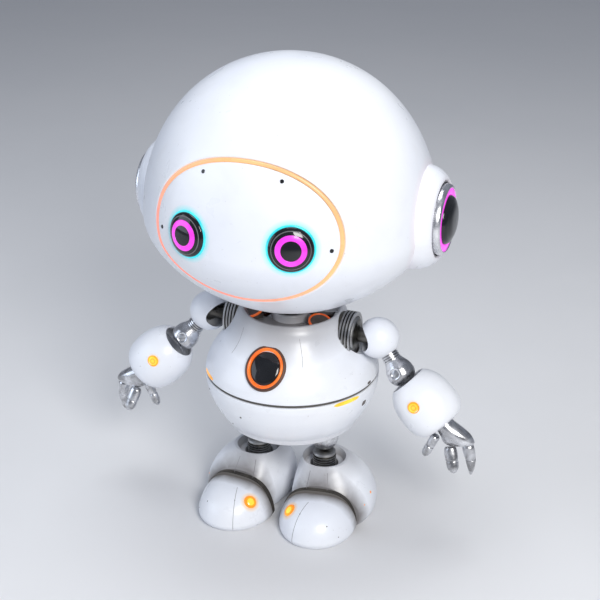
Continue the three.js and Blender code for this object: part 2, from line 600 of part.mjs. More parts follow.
function addFoot(boot, sideName) {
  const side = SIDES[sideName];
  const lightAxis = new THREE.Vector3(-0.42, -0.42, 0.8).normalize();
  const seat = new THREE.Vector3(FOOT_LIGHT.x, FOOT_LIGHT.y, FOOT_LIGHT.z);
  const pocket = rod(FOOT_LIGHT.r + GAP, seat, lightAxis, 12, 14);
  const cap = cut(toeForm(0, 24, 7).intersect(inFrontOf(BOOT.capPlane)), pocket);
  const slab = cut(inFrontOf(BOOT.bellowsPlane - GAP), inFrontOf(BOOT.capPlane + GAP));
  const bellows = toeForm(BELLOWS.inset, 20, 5).scale([1, 1, BELLOWS.rise]).intersect(slab);
  const light = rod(FOOT_LIGHT.r, seat.clone().addScaledVector(lightAxis, GAP), lightAxis, 2.4, 14);
  boot.add(mesh(`boot_shell_${sideName}`, bootShell(), whiteShell(), side));
  boot.add(mesh(`toe_cap_${sideName}`, cap, whiteShell(), side));
  boot.add(mesh(`boot_bellows_${sideName}`, bellows, darkRubber(), side));
  boot.add(mesh(`foot_light_${sideName}`, light, glow(0xffb428), side));
}

// The ribbed post between the boot and the ball of the hip.
function anklePost() {
  const r = ANKLE.postR;
  return turned([[r - 2, 29.6], [r, 31], [r, 33.4], [r - 0.6, 34], [r, 34.6], [r, 40.4],
    [r - 1, 41.6], [4, 42.4]], 16);
}

function buildLeg(sideName) {
  const side = SIDES[sideName];
  const leg = new THREE.Group();
  const toeOut = THREE.MathUtils.degToRad(ANKLE.toeOut);
  const across = new THREE.Vector3(Math.cos(toeOut), Math.sin(toeOut), 0);
  const boot = frameAt(side, new THREE.Vector3(ANKLE.x, ANKLE.y, 0), UP, across);
  addFoot(boot, sideName);
  const post = mesh(`ankle_post_${sideName}`, anklePost(), darkMetal(), side);
  const hip = mesh(`hip_ball_${sideName}`, ball(HIP.r, 0, 0, HIP.z, 16), wornMetal(), side);
  for (const piece of [post, hip]) piece.position.set(ANKLE.x * side, ANKLE.y, 0);
  leg.add(boot, post, hip);
  return leg;
}

// ---------------------------------------------------------------- assembly

const robot = new THREE.Group();
robot.add(buildHead(), buildTorso(), buildNeckPost());
for (const sideName of Object.keys(SIDES)) {
  robot.add(buildArm(sideName), buildLeg(sideName));
}

export default robot;
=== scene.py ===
"""Looks of the humanoid robot kit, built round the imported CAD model. Millimetres until a mesh is made."""

import math

import bmesh
import bpy
from mathutils import Matrix, Vector


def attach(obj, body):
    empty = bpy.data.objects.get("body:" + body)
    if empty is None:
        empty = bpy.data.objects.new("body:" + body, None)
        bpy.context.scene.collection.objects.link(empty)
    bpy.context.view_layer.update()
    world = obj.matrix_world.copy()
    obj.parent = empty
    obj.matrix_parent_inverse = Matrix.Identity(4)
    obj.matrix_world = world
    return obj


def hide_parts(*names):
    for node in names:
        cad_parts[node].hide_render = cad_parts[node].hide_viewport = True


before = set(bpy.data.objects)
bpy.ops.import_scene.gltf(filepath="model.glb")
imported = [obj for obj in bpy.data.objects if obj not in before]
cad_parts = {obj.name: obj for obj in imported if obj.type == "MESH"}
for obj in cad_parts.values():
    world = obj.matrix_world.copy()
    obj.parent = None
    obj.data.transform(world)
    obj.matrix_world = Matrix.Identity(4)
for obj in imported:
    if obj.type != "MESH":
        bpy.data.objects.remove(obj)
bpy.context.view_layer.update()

MM = 0.001
TAU = 2 * math.pi
X, Y, Z = Vector((1, 0, 0)), Vector((0, 1, 0)), Vector((0, 0, 1))

# ---------------------------------------------------------------- driving dimensions

ROUND = 96  # facets round a large surface
FINE = 48  # facets round a small one

HEAD_Z, HEAD_RX, HEAD_RY, HEAD_RISE, HEAD_DROP = 204.25, 88.8, 86.4, 95.75, 61.1
TOP_POWER, LOW_POWER = 2.06, 1.63
COVER_SEAM_Y, NECK_HOLE_R = 43, 15.2
SEAM_SINKS, SEAM_OPENS = (0.25, 1.6), 0.024  # the turned-in edge, step by step
FACE = {"z": 11.25, "half_width": 57.3, "rise": 44.8, "drop": 41.1, "rise_power": 2.07, "drop_power": 1.93}
TRIM, GAP = 1.6, 0.3
SENSORS = ((23.2, 46.35), (51.1, 8.85))
EYE = {"x": 31.2, "z": 10.65, "lens": 12.9, "glow": 14.0, "iris": (5.75, 9.0), "proud": 3.6}
EAR_Y, EAR_Z, EAR_LIP, EAR_FACE = 5.0, 210.0, 93.2, 96.6

TORSO = Vector((0, 2.5, 0))
TORSO_PLACE = Matrix.Translation(TORSO)
WAIST_Z, WAIST_R = 98.0, 55.2
BELLY = ((0, 51.2), (9, 51.7), (19, 53.4), (29, 57), (38, 62.4), (46, 70.6), (52, 81.5), (54.7, 91))
CHEST = ((53.8, 105.4), (50, 112.8), (45, 119), (40.2, 125.4), (36.8, 131.4), (34.6, 136.6))
DISH_FLOOR = 134.1
CHEST_LIGHT_Z, CHEST_LIGHT_R, CHEST_TILT, CHEST_SQUEEZE = 118.2, 45.65, math.radians(38), 0.89
COLLAR_LIGHT = {"at": Vector((22.6, -9.0, 138.2)), "axis": Vector((0.20, -0.22, 0.95)), "r": 7.2}

SHOULDER = Vector((56.8, 3, 127.4))
BALL_R, SOCKET_R = 12.8, 13.9
ELBOW = Vector((72.9, -1, 108.1))
ELBOW_R = 8.7
FOREARM_AXIS = Vector((0.717, -0.086, -0.692)).normalized()
FOREARM = ((12, 6.6), (14.2, 9), (16.6, 13), (18.3, 18.5), (18.9, 25.5), (18.5, 31.5), (17.2, 36.4),
           (14.6, 39.6), (11.2, 40.8))
FOREARM_LIGHT, FOREARM_LIGHT_R = Vector((87.2, -18.2, 96.3)), 3.6
WRIST = Vector((102, -4.5, 80.5))
HAND_AXIS = Vector((0.15, -0.05, -0.987)).normalized()
PALM = ((-4, -1, 5, 5), (0, 0.5, 7, 6), (4, 4, 8.4, 6.4), (8, 7, 9.6, 6.2), (12, 8.6, 10, 5.4),
        (13.8, 9, 9.2, 4.2))
# A digit's root, tip, and sections: share of its length, bend, half width, half depth.
DIGITS = {
    "thumb": ((98.6, -7.8, 72.4), (91.8, -8, 57.4),
              ((0, 0, 2.3, 2.3), (0.08, 0, 2.9, 2.9), (0.44, 0, 2.8, 2.8), (0.5, 0, 2.3, 2.3),
               (0.56, 0, 2.9, 2.9), (0.85, 0, 2.7, 2.7), (1, 0, 1.3, 1.3))),
    "finger_front": ((107.5, -6.9, 66.2), (112, -12.2, 51.6),
                     ((0, 0, 2.9, 2.2), (0.12, 0, 3.9, 3.1), (0.5, 0, 4, 3), (0.56, 0, 3.6, 2.7),
                      (0.62, 0, 3.9, 2.9), (0.85, 0, 3.4, 2.6), (1, 0, 1.8, 1.4))),
    "finger_rear": ((118, -4.4, 68.2), (120.4, -1.4, 45.8),
                    ((0, 0, 2.8, 2.2), (0.1, 0.2, 3.8, 3.2), (0.42, 0.8, 3.4, 3), (0.47, 0.9, 3, 2.7),
                     (0.52, 0.9, 3.2, 2.8), (0.8, 0.6, 2.1, 2.1), (1, 0, 0.6, 0.6))),
}

ANKLE = Vector((22.9, 0.5, 0))
TOE_OUT = math.radians(7.7)
HIP_Z, HIP_R, HIP_GAP = 52, 9, 0.5
BOOT_TOP, COLLAR_R, COLLAR_DEPTH = 37.4, 14.0, 5.2
CAP_PLANE, BELLOWS_PLANE, BELLOWS_INSET, BELLOWS_RISE = -24.4, -20.6, 0.9, 1.13
BOOT_OUTER = ((0, 31.5), (3, 33.6), (9, 34.4), (16, 33), (24, 29), (30, 24), (34.5, 19), (BOOT_TOP, 16))
BOOT_INNER = ((0, 18.2), (3, 19.8), (9, 20.4), (16, 20), (24, 18.4), (30, 16.6), (34.5, 15), (BOOT_TOP, 14))
BOOT_FRONT = ((0, 31), (9, 31), (16, 27.5), (22, 24), (28, 19.6), (33, 16.4), (BOOT_TOP, 14.6))
BOOT_BACK = ((0, 31), (3, 33.6), (9, 34.6), (16, 33.4), (24, 29.2), (30, 24), (34.5, 19), (BOOT_TOP, 16.2))
TOE_X, TOE_Y, TOE_HEIGHT, TOE_SIZES = 1.4, -22, 23.0, (25.6, 25.4, 33, 14)  # out, in, front, back
TOE_SWELL, SOLE_TUCK = 0.62, 0.09
ANKLE_HOLE_R = 9.2
FOOT_LIGHT, FOOT_LIGHT_R = Vector((-13.7, -36.4, 15.4)), 3.9
FOOT_LIGHT_AXIS = Vector((-0.42, -0.42, 0.8)).normalized()

CAMERA_AT, CAMERA_AIM, CAMERA_VIEW = Vector((274.5, -712.9, 498.0)), Vector((5.2, 2.5, 144.8)), 25.0


# ---------------------------------------------------------------- materials


class Look:
    """A node material, with short calls for the nodes it is made of."""

    def __init__(self, name, **shader):
        self.material = bpy.data.materials.new(name)
        self.material.use_nodes = True
        self.tree = self.material.node_tree
        self.shader = self.tree.nodes["Principled BSDF"]
        for socket, value in shader.items():
            self.shader.inputs[socket.replace("_", " ")].default_value = value
        self.place = self.node("ShaderNodeTexCoord").outputs["Object"]

    def node(self, kind, links=(), **settings):
        made = self.tree.nodes.new(kind)
        for key, value in settings.items():
            setattr(made, key, value)
        for socket, source in dict(links).items():
            if isinstance(source, bpy.types.NodeSocket):
                self.tree.links.new(source, made.inputs[socket])
            else:
                made.inputs[socket].default_value = source
        return made

    def noise(self, scale, detail=4, distortion=0.0, stretch=None):
        place = self.place
        if stretch:
            place = self.node("ShaderNodeMapping", {"Vector": place, "Scale": stretch}).outputs["Vector"]
        links = {"Vector": place, "Scale": scale, "Detail": detail, "Distortion": distortion}
        return self.node("ShaderNodeTexNoise", links).outputs["Fac"]

    def span(self, value, low, high, to_low=0.0, to_high=1.0):
        links = {"Value": value, "From Min": low, "From Max": high, "To Min": to_low, "To Max": to_high}
        return self.node("ShaderNodeMapRange", links, clamp=True).outputs["Result"]

    def mix(self, share, first, second, how="MIX"):
        mixed = self.node("ShaderNodeMix", data_type="RGBA", blend_type=how)
        for index, source in ((0, share), (6, first), (7, second)):
            if isinstance(source, bpy.types.NodeSocket):
                self.tree.links.new(source, mixed.inputs[index])
            else:
                mixed.inputs[index].default_value = source
        return mixed.outputs[2]

    def maths(self, how, a, b=0.0):
        return self.node("ShaderNodeMath", {0: a, 1: b}, operation=how).outputs[0]

    def edges(self, low, high):
        """1 along outward edges, 0 elsewhere; with low above high, 1 in the hollows."""
        return self.span(self.node("ShaderNodeNewGeometry").outputs["Pointiness"], low, high)

    def folded(self, point):
        """The place seen from a point in millimetres, with the robot's right side folded onto its left."""
        parts = self.node("ShaderNodeSeparateXYZ", {"Vector": self.place}).outputs
        links = {"X": self.maths("ABSOLUTE", parts["X"]), "Y": parts["Y"], "Z": parts["Z"]}
        place = self.node("ShaderNodeCombineXYZ", links).outputs["Vector"]
        links = {0: place, 1: Vector(point) * MM}
        return self.node("ShaderNodeVectorMath", links, operation="SUBTRACT").outputs["Vector"]

    def away_from(self, centre):
        """Distance in metres from a point in millimetres, or from its mirror image."""
        links = {0: self.folded(centre)}
        return self.node("ShaderNodeVectorMath", links, operation="LENGTH").outputs["Value"]

    def beside(self, point, normal):
        """Distance in metres from a plane through a point in millimetres, or from its mirror image."""
        links = {0: self.folded(point), 1: Vector(normal)}
        along = self.node("ShaderNodeVectorMath", links, operation="DOT_PRODUCT").outputs["Value"]
        return self.maths("ABSOLUTE", along)

    def bump(self, height, strength, distance):
        links = {"Height": height, "Strength": strength, "Distance": distance}
        self.set("Normal", self.node("ShaderNodeBump", links).outputs["Normal"])

    def set(self, socket, source):
        self.tree.links.new(source, self.shader.inputs[socket])


def rgb(r, g, b):
    return (r, g, b, 1.0)


def shell_look(name, painted_light_and_shade=(), hollow_shade=0.5, seam=None):
    """White gloss moulding: faint cool mottling, handling smears, grey edge wear, painted shade in the
    creases, painted light and painted shadow round given points, and painted shade with some grime beside a
    seam.
    """
    look = Look(name, IOR=1.5, Coat_Weight=0.18, Coat_Roughness=0.22)
    cool = look.span(look.noise(16, 3), 0.35, 0.65)
    color = look.mix(cool, rgb(0.84, 0.86, 0.90), rgb(0.79, 0.82, 0.89))
    smears = look.span(look.noise(70, 7, 0.6), 0.52, 0.72)
    color = look.mix(look.maths("MULTIPLY", smears, 0.10), color, rgb(0.60, 0.59, 0.60))
    specks = look.span(look.noise(620, 2), 0.74, 0.78)
    color = look.mix(look.maths("MULTIPLY", specks, 0.5), color, rgb(0.30, 0.27, 0.26))
    # Painted shade: the hollows darken towards dark grey.
    color = look.mix(look.maths("MULTIPLY", look.edges(0.5, 0.40), hollow_shade), color, rgb(0.28, 0.25, 0.24))
    color = look.mix(look.maths("MULTIPLY", look.edges(0.56, 0.66), 0.35), color, rgb(0.62, 0.63, 0.66))
    # Painted light and painted shadow: each entry tints the colour within a radius of a point, a coloured
    # glow round a lamp or a dark shade.
    for centre, inner, outer, tint, most in painted_light_and_shade:
        near = look.span(look.away_from(centre), outer * MM, inner * MM, 0.0, most)
        color = look.mix(near, color, tint)
    # Painted shade with some grime: a dark band on either side of a seam plane.
    if seam:
        uneven = look.span(look.noise(90, 5, 0.6), 0.3, 0.7, 0.0, SEAM_SHADE_WANDER * MM)
        away = look.maths("ADD", look.beside(*seam), uneven)
        seam_shade = look.span(away, SEAM_SHADE_END * MM, SEAM_SHADE_START * MM, 0.0, 0.85)
        color = look.mix(seam_shade, color, GRIME_AND_SHADE)
    look.set("Base Color", color)
    look.set("Roughness", look.span(look.noise(55, 6, 0.4), 0.3, 0.75, 0.26, 0.42))
    look.bump(look.mix(0.25, look.noise(45, 3), look.noise(900, 2)), 0.06, 0.0004)
    return look.material


def metal_look(name, light, dark, rough, hollow_shade=0.8):
    """Worn metal: painted shade in the hollows, brighter rubbed edges, fine scratches round the piece."""
    look = Look(name, Metallic=1.0)
    patches = look.span(look.noise(85, 8, 1.2), 0.36, 0.62)
    color = look.mix(patches, rgb(*dark), rgb(*light))
    # Painted shade: the hollows darken towards near black.
    color = look.mix(look.maths("MULTIPLY", look.edges(0.5, 0.42), hollow_shade), color, rgb(0.03, 0.028, 0.025))
    color = look.mix(look.maths("MULTIPLY", look.edges(0.53, 0.60), 0.7), color, rgb(0.86, 0.87, 0.90))
    look.set("Base Color", color)
    look.set("Roughness", look.span(look.noise(140, 6, 0.8), 0.3, 0.7, rough[0], rough[1]))
    scratches = look.noise(260, 3, 0.2, stretch=(1.0, 1.0, 7.0))
    look.bump(look.mix(0.5, scratches, look.noise(120, 5)), 0.22, 0.0004)
    return look.material


def rubber_look():
    look = Look("dark_rubber", IOR=1.45)
    dust = look.span(look.noise(110, 6, 0.5), 0.45, 0.75)
    color = look.mix(dust, rgb(0.016, 0.014, 0.012), rgb(0.075, 0.066, 0.055))
    look.set("Base Color", look.mix(look.edges(0.52, 0.6), color, rgb(0.14, 0.13, 0.12)))
    look.set("Roughness", look.span(look.noise(60, 4), 0.3, 0.7, 0.55, 0.85))
    look.bump(look.noise(700, 4), 0.35, 0.0003)
    return look.material


def plastic_look(name, first, second, rough):
    look = Look(name)
    look.set("Base Color", look.mix(look.span(look.noise(60, 5), 0.35, 0.65), rgb(*first), rgb(*second)))
    look.set("Roughness", look.span(look.noise(90, 5), 0.3, 0.7, rough[0], rough[1]))
    look.bump(look.noise(800, 3), 0.15, 0.0003)
    return look.material


def lens_look():
    """Polished black dome with the faintest smears."""
    look = Look("black_lens", IOR=1.4, Coat_Weight=0.3, Coat_Roughness=0.02)
    smears = look.span(look.noise(40, 3), 0.4, 0.7)
    look.set("Base Color", look.mix(smears, rgb(0.006, 0.007, 0.009), rgb(0.014, 0.015, 0.018)))
    look.set("Roughness", look.span(look.noise(120, 6, 0.5), 0.4, 0.75, 0.05, 0.16))
    look.bump(look.noise(60, 2), 0.02, 0.0002)
    return look.material


def glow_look(name, first, second, strength, scale=60):
    """A lit translucent moulding whose colour drifts between two tones."""
    look = Look(name, Coat_Weight=0.25, Coat_Roughness=0.06)
    drift = look.span(look.noise(scale, 3), 0.35, 0.65)
    color = look.mix(drift, rgb(*first), rgb(*second))
    look.set("Base Color", look.mix(0.78, color, rgb(0.0, 0.0, 0.0)))
    look.set("Emission Color", color)
    uneven = look.span(look.noise(scale * 2, 2), 0.3, 0.7, strength * 0.85, strength * 1.1)
    look.set("Emission Strength", uneven)
    look.set("Roughness", look.span(look.noise(140, 4), 0.3, 0.7, 0.18, 0.34))
    look.bump(look.noise(400, 3), 0.05, 0.0002)
    return look.material


def trim_look():
    """The light line: peach at the top and towards the robot's left, salmon round the rest."""
    look = Look("peach_light", Coat_Weight=0.2, Coat_Roughness=0.08)
    parts = look.node("ShaderNodeSeparateXYZ", {"Vector": look.place})
    lean = look.maths("ADD", parts.outputs["X"], parts.outputs["Z"])
    wander = look.span(look.noise(30, 3), 0.3, 0.7, -0.02, 0.02)
    share = look.span(look.maths("ADD", lean, wander), 0.165, 0.245)
    color = look.mix(share, rgb(1.0, 0.34, 0.27), rgb(1.0, 0.55, 0.25))
    look.set("Base Color", look.mix(0.75, color, rgb(0.0, 0.0, 0.0)))
    look.set("Emission Color", color)
    look.set("Emission Strength", look.span(look.noise(50, 3), 0.3, 0.7, 0.80, 0.98))
    look.set("Roughness", look.span(look.noise(200, 3), 0.3, 0.7, 0.2, 0.4))
    return look.material


# CYAN, PINK and AMBER tint painted light round the lamps; GRIME_AND_SHADE is the dark tint of painted shade
# and shadow, with some grime.
CYAN, PINK = rgb(0.20, 0.86, 0.92), rgb(0.95, 0.50, 0.56)
AMBER, GRIME_AND_SHADE = rgb(1.0, 0.55, 0.12), rgb(0.13, 0.115, 0.11)
SEAM_SHADE_START, SEAM_SHADE_END, SEAM_SHADE_WANDER = 3.4, 11.5, 2.2  # distances from the seam over which the painted shade and grime lie


# ---------------------------------------------------------------- mesh making


def spline(stops, steps=6):
    """A smooth run of points through the stops."""
    run = [Vector(stop) for stop in stops]
    run = [2 * run[0] - run[1], *run, 2 * run[-1] - run[-2]]
    points = []
    for a, b, c, d in zip(run, run[1:], run[2:], run[3:]):
        for i in range(steps):
            t = i / steps
            points.append(0.5 * (2 * b + (c - a) * t + (2 * a - 5 * b + 4 * c - d) * t ** 2
                                 + (3 * b - a - 3 * c + d) * t ** 3))
    return [*points, run[-2]]


def smooth(stops, key, column=1):
    """A value read off stops keyed by their first entry, without kinks at the stops."""
    last = len(stops) - 1
    i = max(0, min(last - 1, sum(1 for stop in stops if stop[0] <= key) - 1))

    def slope(j):
        after, before = stops[min(j + 1, last)], stops[max(j - 1, 0)]
        return (after[column] - before[column]) / (after[0] - before[0])

    wide = stops[i + 1][0] - stops[i][0]
    t = min(1.0, max(0.0, (key - stops[i][0]) / wide))
    v0, v1 = stops[i][column], stops[i + 1][column]
    return (v0 * (1 + 2 * t) * (1 - t) ** 2 + v1 * t * t * (3 - 2 * t)
            + wide * (slope(i) * t * (1 - t) ** 2 - slope(i + 1) * t * t * (1 - t)))


def basis(origin, axis, hint=X):
    """A frame with Z along axis, the same way round as the CAD's."""
    z = Vector(axis).normalized()
    if abs(z.dot(hint)) > 0.999:
        hint = Y
    y = z.cross(hint).normalized()
    x = y.cross(z)
    placed = Matrix((x, y, z)).transposed().to_4x4()
    placed.translation = Vector(origin)
    return placed


def rings_mesh(rings, wrap=False, sharp=38):
    """A mesh through rings of points.

    A ring of one point closes that end, and wrap joins the last ring to the first.
    """
    points, starts = [], []
    for ring in rings:
        starts.append(len(points))
        points += [tuple(Vector(p) * MM) for p in ring]
    pairs = list(zip(range(len(rings) - 1), range(1, len(rings)))) + ([(len(rings) - 1, 0)] if wrap else [])
    faces = []
    for i, j in pairs:
        count = max(len(rings[i]), len(rings[j]))
        for k in range(count):
            m = (k + 1) % count
            if len(rings[i]) == 1:
                faces.append((starts[i], starts[j] + m, starts[j] + k))
            elif len(rings[j]) == 1:
                faces.append((starts[i] + k, starts[i] + m, starts[j]))
            else:
                faces.append((starts[i] + k, starts[i] + m, starts[j] + m, starts[j] + k))
    mesh = bpy.data.meshes.new("skin")
    mesh.from_pydata(points, [], faces)
    return finished(mesh, sharp)


def capped(rings):
    """The rings with the middle of the first and of the last added, which closes both ends."""
    first, last = ([sum(ring, Vector()) / len(ring)] for ring in (rings[0], rings[-1]))
    return [first, *rings, last]


def finished(mesh, sharp=38):
    """Doubles merged, faces turned outwards, smooth but for the sharp edges."""
    work = bmesh.new()
    work.from_mesh(mesh)
    bmesh.ops.remove_doubles(work, verts=work.verts, dist=1e-6)
    bmesh.ops.recalc_face_normals(work, faces=work.faces)
    work.to_mesh(mesh)
    work.free()
    mesh.polygons.foreach_set("use_smooth", [True] * len(mesh.polygons))
    mesh.set_sharp_from_angle(angle=math.radians(sharp))
    mesh.update()
    return mesh


def turned(profile, place=Matrix.Identity(4), facets=ROUND, wrap=False, sharp=38):
    """A solid of revolution about the frame's Z; the profile is (radius, height) pairs."""
    rings = []
    for r, h in profile:
        count = 1 if r < 1e-6 else facets
        rings.append([place @ Vector((r * math.cos(TAU * k / facets), r * math.sin(TAU * k / facets), h))
                      for k in range(count)])
    return rings_mesh(rings, wrap=wrap, sharp=sharp)


def ribs(start, stop, pitch, r, depth, heights):
    """Profile points of ribs that repeat from start to stop: a crest, then a groove of some depth."""
    way = math.copysign(1, pitch)
    crest, foot, end = heights
    profile, z = [], start
    while (stop - z) * way > 0:
        profile += [(r, z), (r, z + way * crest), (r - depth, z + way * foot), (r - depth, z + way * end)]
        z += pitch
    return profile


def limb(stations, place, facets=FINE, heel=0.35, crown=0.6):
    """A rounded limb through (along, bend, half width, half depth) stations, its ends domed by a share."""
    run = spline(stations)
    rings = []
    for share in (0.0, 0.55, 0.85):
        rings.append(section(run[0], share, -(1 - share) * heel * run[0][3], place, facets))
    rings += [section(stop, 1.0, 0.0, place, facets) for stop in run]
    for share in (0.85, 0.55, 0.0):
        rings.append(section(run[-1], share, (1 - share) * crown * run[-1][3], place, facets))
    return rings_mesh(rings)


def section(stop, share, lift, place, facets):
    along, bend, wide, deep = stop
    if share == 0:
        return [place @ Vector((bend, 0, along + lift))]
    return [place @ Vector((bend + share * wide * math.sin(TAU * k / facets),
                            share * deep * math.cos(TAU * k / facets), along + lift))
            for k in range(facets)]


def carved(mesh, *tools, sharp=38):
    """The mesh with other closed meshes cut from it."""
    target = bpy.data.objects.new("carving", mesh)
    bpy.context.scene.collection.objects.link(target)
    cutters = []
    for tool in tools:
        cutter = bpy.data.objects.new("cutter", tool)
        bpy.context.scene.collection.objects.link(cutter)
        cutters.append(cutter)
        step = target.modifiers.new("cut", "BOOLEAN")
        step.object, step.operation, step.solver = cutter, "DIFFERENCE", "EXACT"
    bpy.context.view_layer.update()
    done = bpy.data.meshes.new_from_object(target.evaluated_get(bpy.context.evaluated_depsgraph_get()))
    for obj in (target, *cutters):
        bpy.data.objects.remove(obj)
    return finished(done, sharp)


def slab(y_low, y_high, place):
    """A wide block between two Y planes of a frame, to cut with."""
    far = 120
    corners = [[(-far, y_low, -far), (far, y_low, -far), (far, y_low, far), (-far, y_low, far)],
               [(-far, y_high, -far), (far, y_high, -far), (far, y_high, far), (-far, y_high, far)]]
    rings = [[place @ Vector(p) for p in ring] for ring in corners]
    return rings_mesh(capped(rings))


def rod(radius, start, axis, length, facets=FINE):
    return turned([(0, 0), (radius, 0), (radius, length), (0, length)], basis(start, axis), facets)


def ribbon(points, normals, width, lift=0.05, thick=0.25):
    """A thin closed strip laid along a surface, such as a panel line."""
    rings = []
    for i, (point, normal) in enumerate(zip(points, normals)):
        run = (points[min(i + 1, len(points) - 1)] - points[max(i - 1, 0)]).normalized()
        across = run.cross(normal).normalized() * width / 2
        top, low = normal * lift, normal * (lift - thick)
        rings.append([point - across + top, point + across + top, point + across + low, point - across + low])
    return rings_mesh(capped(rings), sharp=50)


# ---------------------------------------------------------------- pieces


def add(name, mesh, look, body, nodes=()):
    mesh.materials.clear()
    mesh.materials.append(look)
    piece = bpy.data.objects.new(name, mesh)
    bpy.context.scene.collection.objects.link(piece)
    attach(piece, body)
    if nodes:
        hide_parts(*nodes)
    return piece


def mirrored(mesh):
    other = mesh.copy()
    other.transform(Matrix.Scale(-1, 4, X))
    other.flip_normals()
    return other


def add_pair(name, mesh, look, body, nodes=()):
    """A piece on the robot's left and its mirror image on the right. Body and node names end in the side."""
    for side in ("left", "right"):
        shape = mesh if side == "left" else mirrored(mesh)
        owner = body if body in ("head", "torso") else f"{body}_{side}"
        add(f"{name}_{side}", shape, look, owner, [f"{node}_{side}" for node in nodes])


# ---------------------------------------------------------------- head


def head_reach(direction):
    """Distance from the head's centre to its surface."""
    across = math.hypot(direction.x, direction.y * HEAD_RX / HEAD_RY)
    power, height = (TOP_POWER, HEAD_RISE) if direction.z > 0 else (LOW_POWER, HEAD_DROP)
    return ((across / HEAD_RX) ** power + (abs(direction.z) / height) ** power) ** (-1 / power)


def on_head(point, lift=0.0):
    """The head's surface in line with a point, both measured from the head's centre, in the robot's frame."""
    direction = Vector(point).normalized()
    return direction * (head_reach(direction) + lift) + Vector((0, 0, HEAD_Z))


def head_normal(point):
    """Outward direction of the head's surface near a point in the robot's frame."""
    d = (point - Vector((0, 0, HEAD_Z))).normalized()
    side = d.orthogonal().normalized()
    other = d.cross(side)
    step = 0.01
    a = on_head(d + side * step) - on_head(d - side * step)
    b = on_head(d + other * step) - on_head(d - other * step)
    normal = a.cross(b).normalized()
    return normal if normal.dot(d) > 0 else -normal


def face_front(x, z):
    """A point of the front surface, from the head's centre, by its place across and up."""
    power, height = (TOP_POWER, HEAD_RISE) if z > 0 else (LOW_POWER, HEAD_DROP)
    across = max(0.0, 1 - (abs(z) / height) ** power) ** (1 / power)
    return Vector((x, -HEAD_RY * math.sqrt(max(0.0, across ** 2 - (x / HEAD_RX) ** 2)), z))


def face_edge(turn, margin, share=1.0):
    """A point of the face outline moved outwards by a margin, or a share of the way to it from the middle."""
    c, s = math.cos(turn), math.sin(turn)
    height = FACE["rise" if s > 0 else "drop"] + margin
    power = FACE["rise_power" if s > 0 else "drop_power"]
    length = ((abs(c) / (FACE["half_width"] + margin)) ** power + (abs(s) / height) ** power) ** (-1 / power)
    return face_front(share * c * length, FACE["z"] + share * s * length)


def face_ring(margin, lift, share=1.0, count=192):
    """The outline on the head's surface, raised or sunk along the outward direction."""
    ring = []
    for k in range(count):
        point = on_head(face_edge(TAU * k / count, margin, share))
        ring.append(point + head_normal(point) * lift)
    return ring


def head_shell_rings(count=192, rows=110):
    """From the lip round the face, over the rounded edge, and on round the head to its far side."""
    centre = face_front(0, FACE["z"]).normalized()
    across = centre.cross(Z).normalized()
    up = across.cross(centre)
    rings = [face_ring(margin, lift, count=count)
             for margin, lift in ((0, -2.2), (0, -0.75), (0.12, -0.32), (0.4, -0.06), (0.8, 0))]
    starts = []
    for k in range(count):
        d = face_edge(TAU * k / count, 1.3).normalized()
        starts.append((centre.angle(d), math.atan2(d.dot(up), d.dot(across))))
    for row in range(rows + 1):
        ring = []
        for start, turn in starts:
            angle = start + (math.pi - start) * row / rows
            side = across * math.cos(turn) + up * math.sin(turn)
            ring.append(on_head(centre * math.cos(angle) + side * math.sin(angle)))
        rings.append(ring if row < rows else [on_head(-centre)])
    return rings


def split_at(mesh, name, y, keep_front):
    """The part of a skin in front of or behind a Y plane, with its cut edge turned in to make a seam."""
    part = mesh.copy()
    part.name = name
    work = bmesh.new()
    work.from_mesh(part)
    bmesh.ops.bisect_plane(work, geom=work.verts[:] + work.edges[:] + work.faces[:], dist=1e-7,
                           plane_co=(0, y * MM, 0), plane_no=(0, 1 if keep_front else -1, 0),
                           clear_outer=True)
    edge = [e for e in work.edges if e.is_boundary and all(abs(v.co.y - y * MM) < 1e-6 for v in e.verts)]
    centre = Vector((0, 0, HEAD_Z * MM))
    for sink in SEAM_SINKS:
        made = bmesh.ops.extrude_edge_only(work, edges=edge)["geom"]
        for vertex in (g for g in made if isinstance(g, bmesh.types.BMVert)):
            vertex.co += (centre - vertex.co).normalized() * sink * MM
            vertex.co.y += (SEAM_OPENS if keep_front else -SEAM_OPENS) * MM
        edge = [g for g in made if isinstance(g, bmesh.types.BMEdge) and g.is_boundary]
    low = [f for f in work.faces if f.calc_center_median().z < HEAD_Z * MM
           and f.calc_center_median().xy.length < NECK_HOLE_R * MM]
    bmesh.ops.delete(work, geom=low, context="FACES")
    work.to_mesh(part)
    work.free()
    return finished(part, 60)


def build_head(looks):
    skin = rings_mesh(head_shell_rings(), sharp=60)
    add("head_shell_skin", split_at(skin, "head_shell_skin", COVER_SEAM_Y - GAP / 2, True), looks["head"],
        "head", ["head_shell"])
    add("rear_cover_skin", split_at(skin, "rear_cover_skin", COVER_SEAM_Y + GAP / 2, False), looks["head"],
        "head", ["rear_head_cover"])
    lip = turned([(14.6, 0), (16.6, 0), (17, 0.6), (16.4, 1.6), (14.8, 1.6)],
                 Matrix.Translation((0, 0, 143.6)), wrap=True)
    add("neck_opening_lip", lip, looks["rubber"], "head")
    build_face(looks)
    build_eyes(looks)
    build_ears(looks)


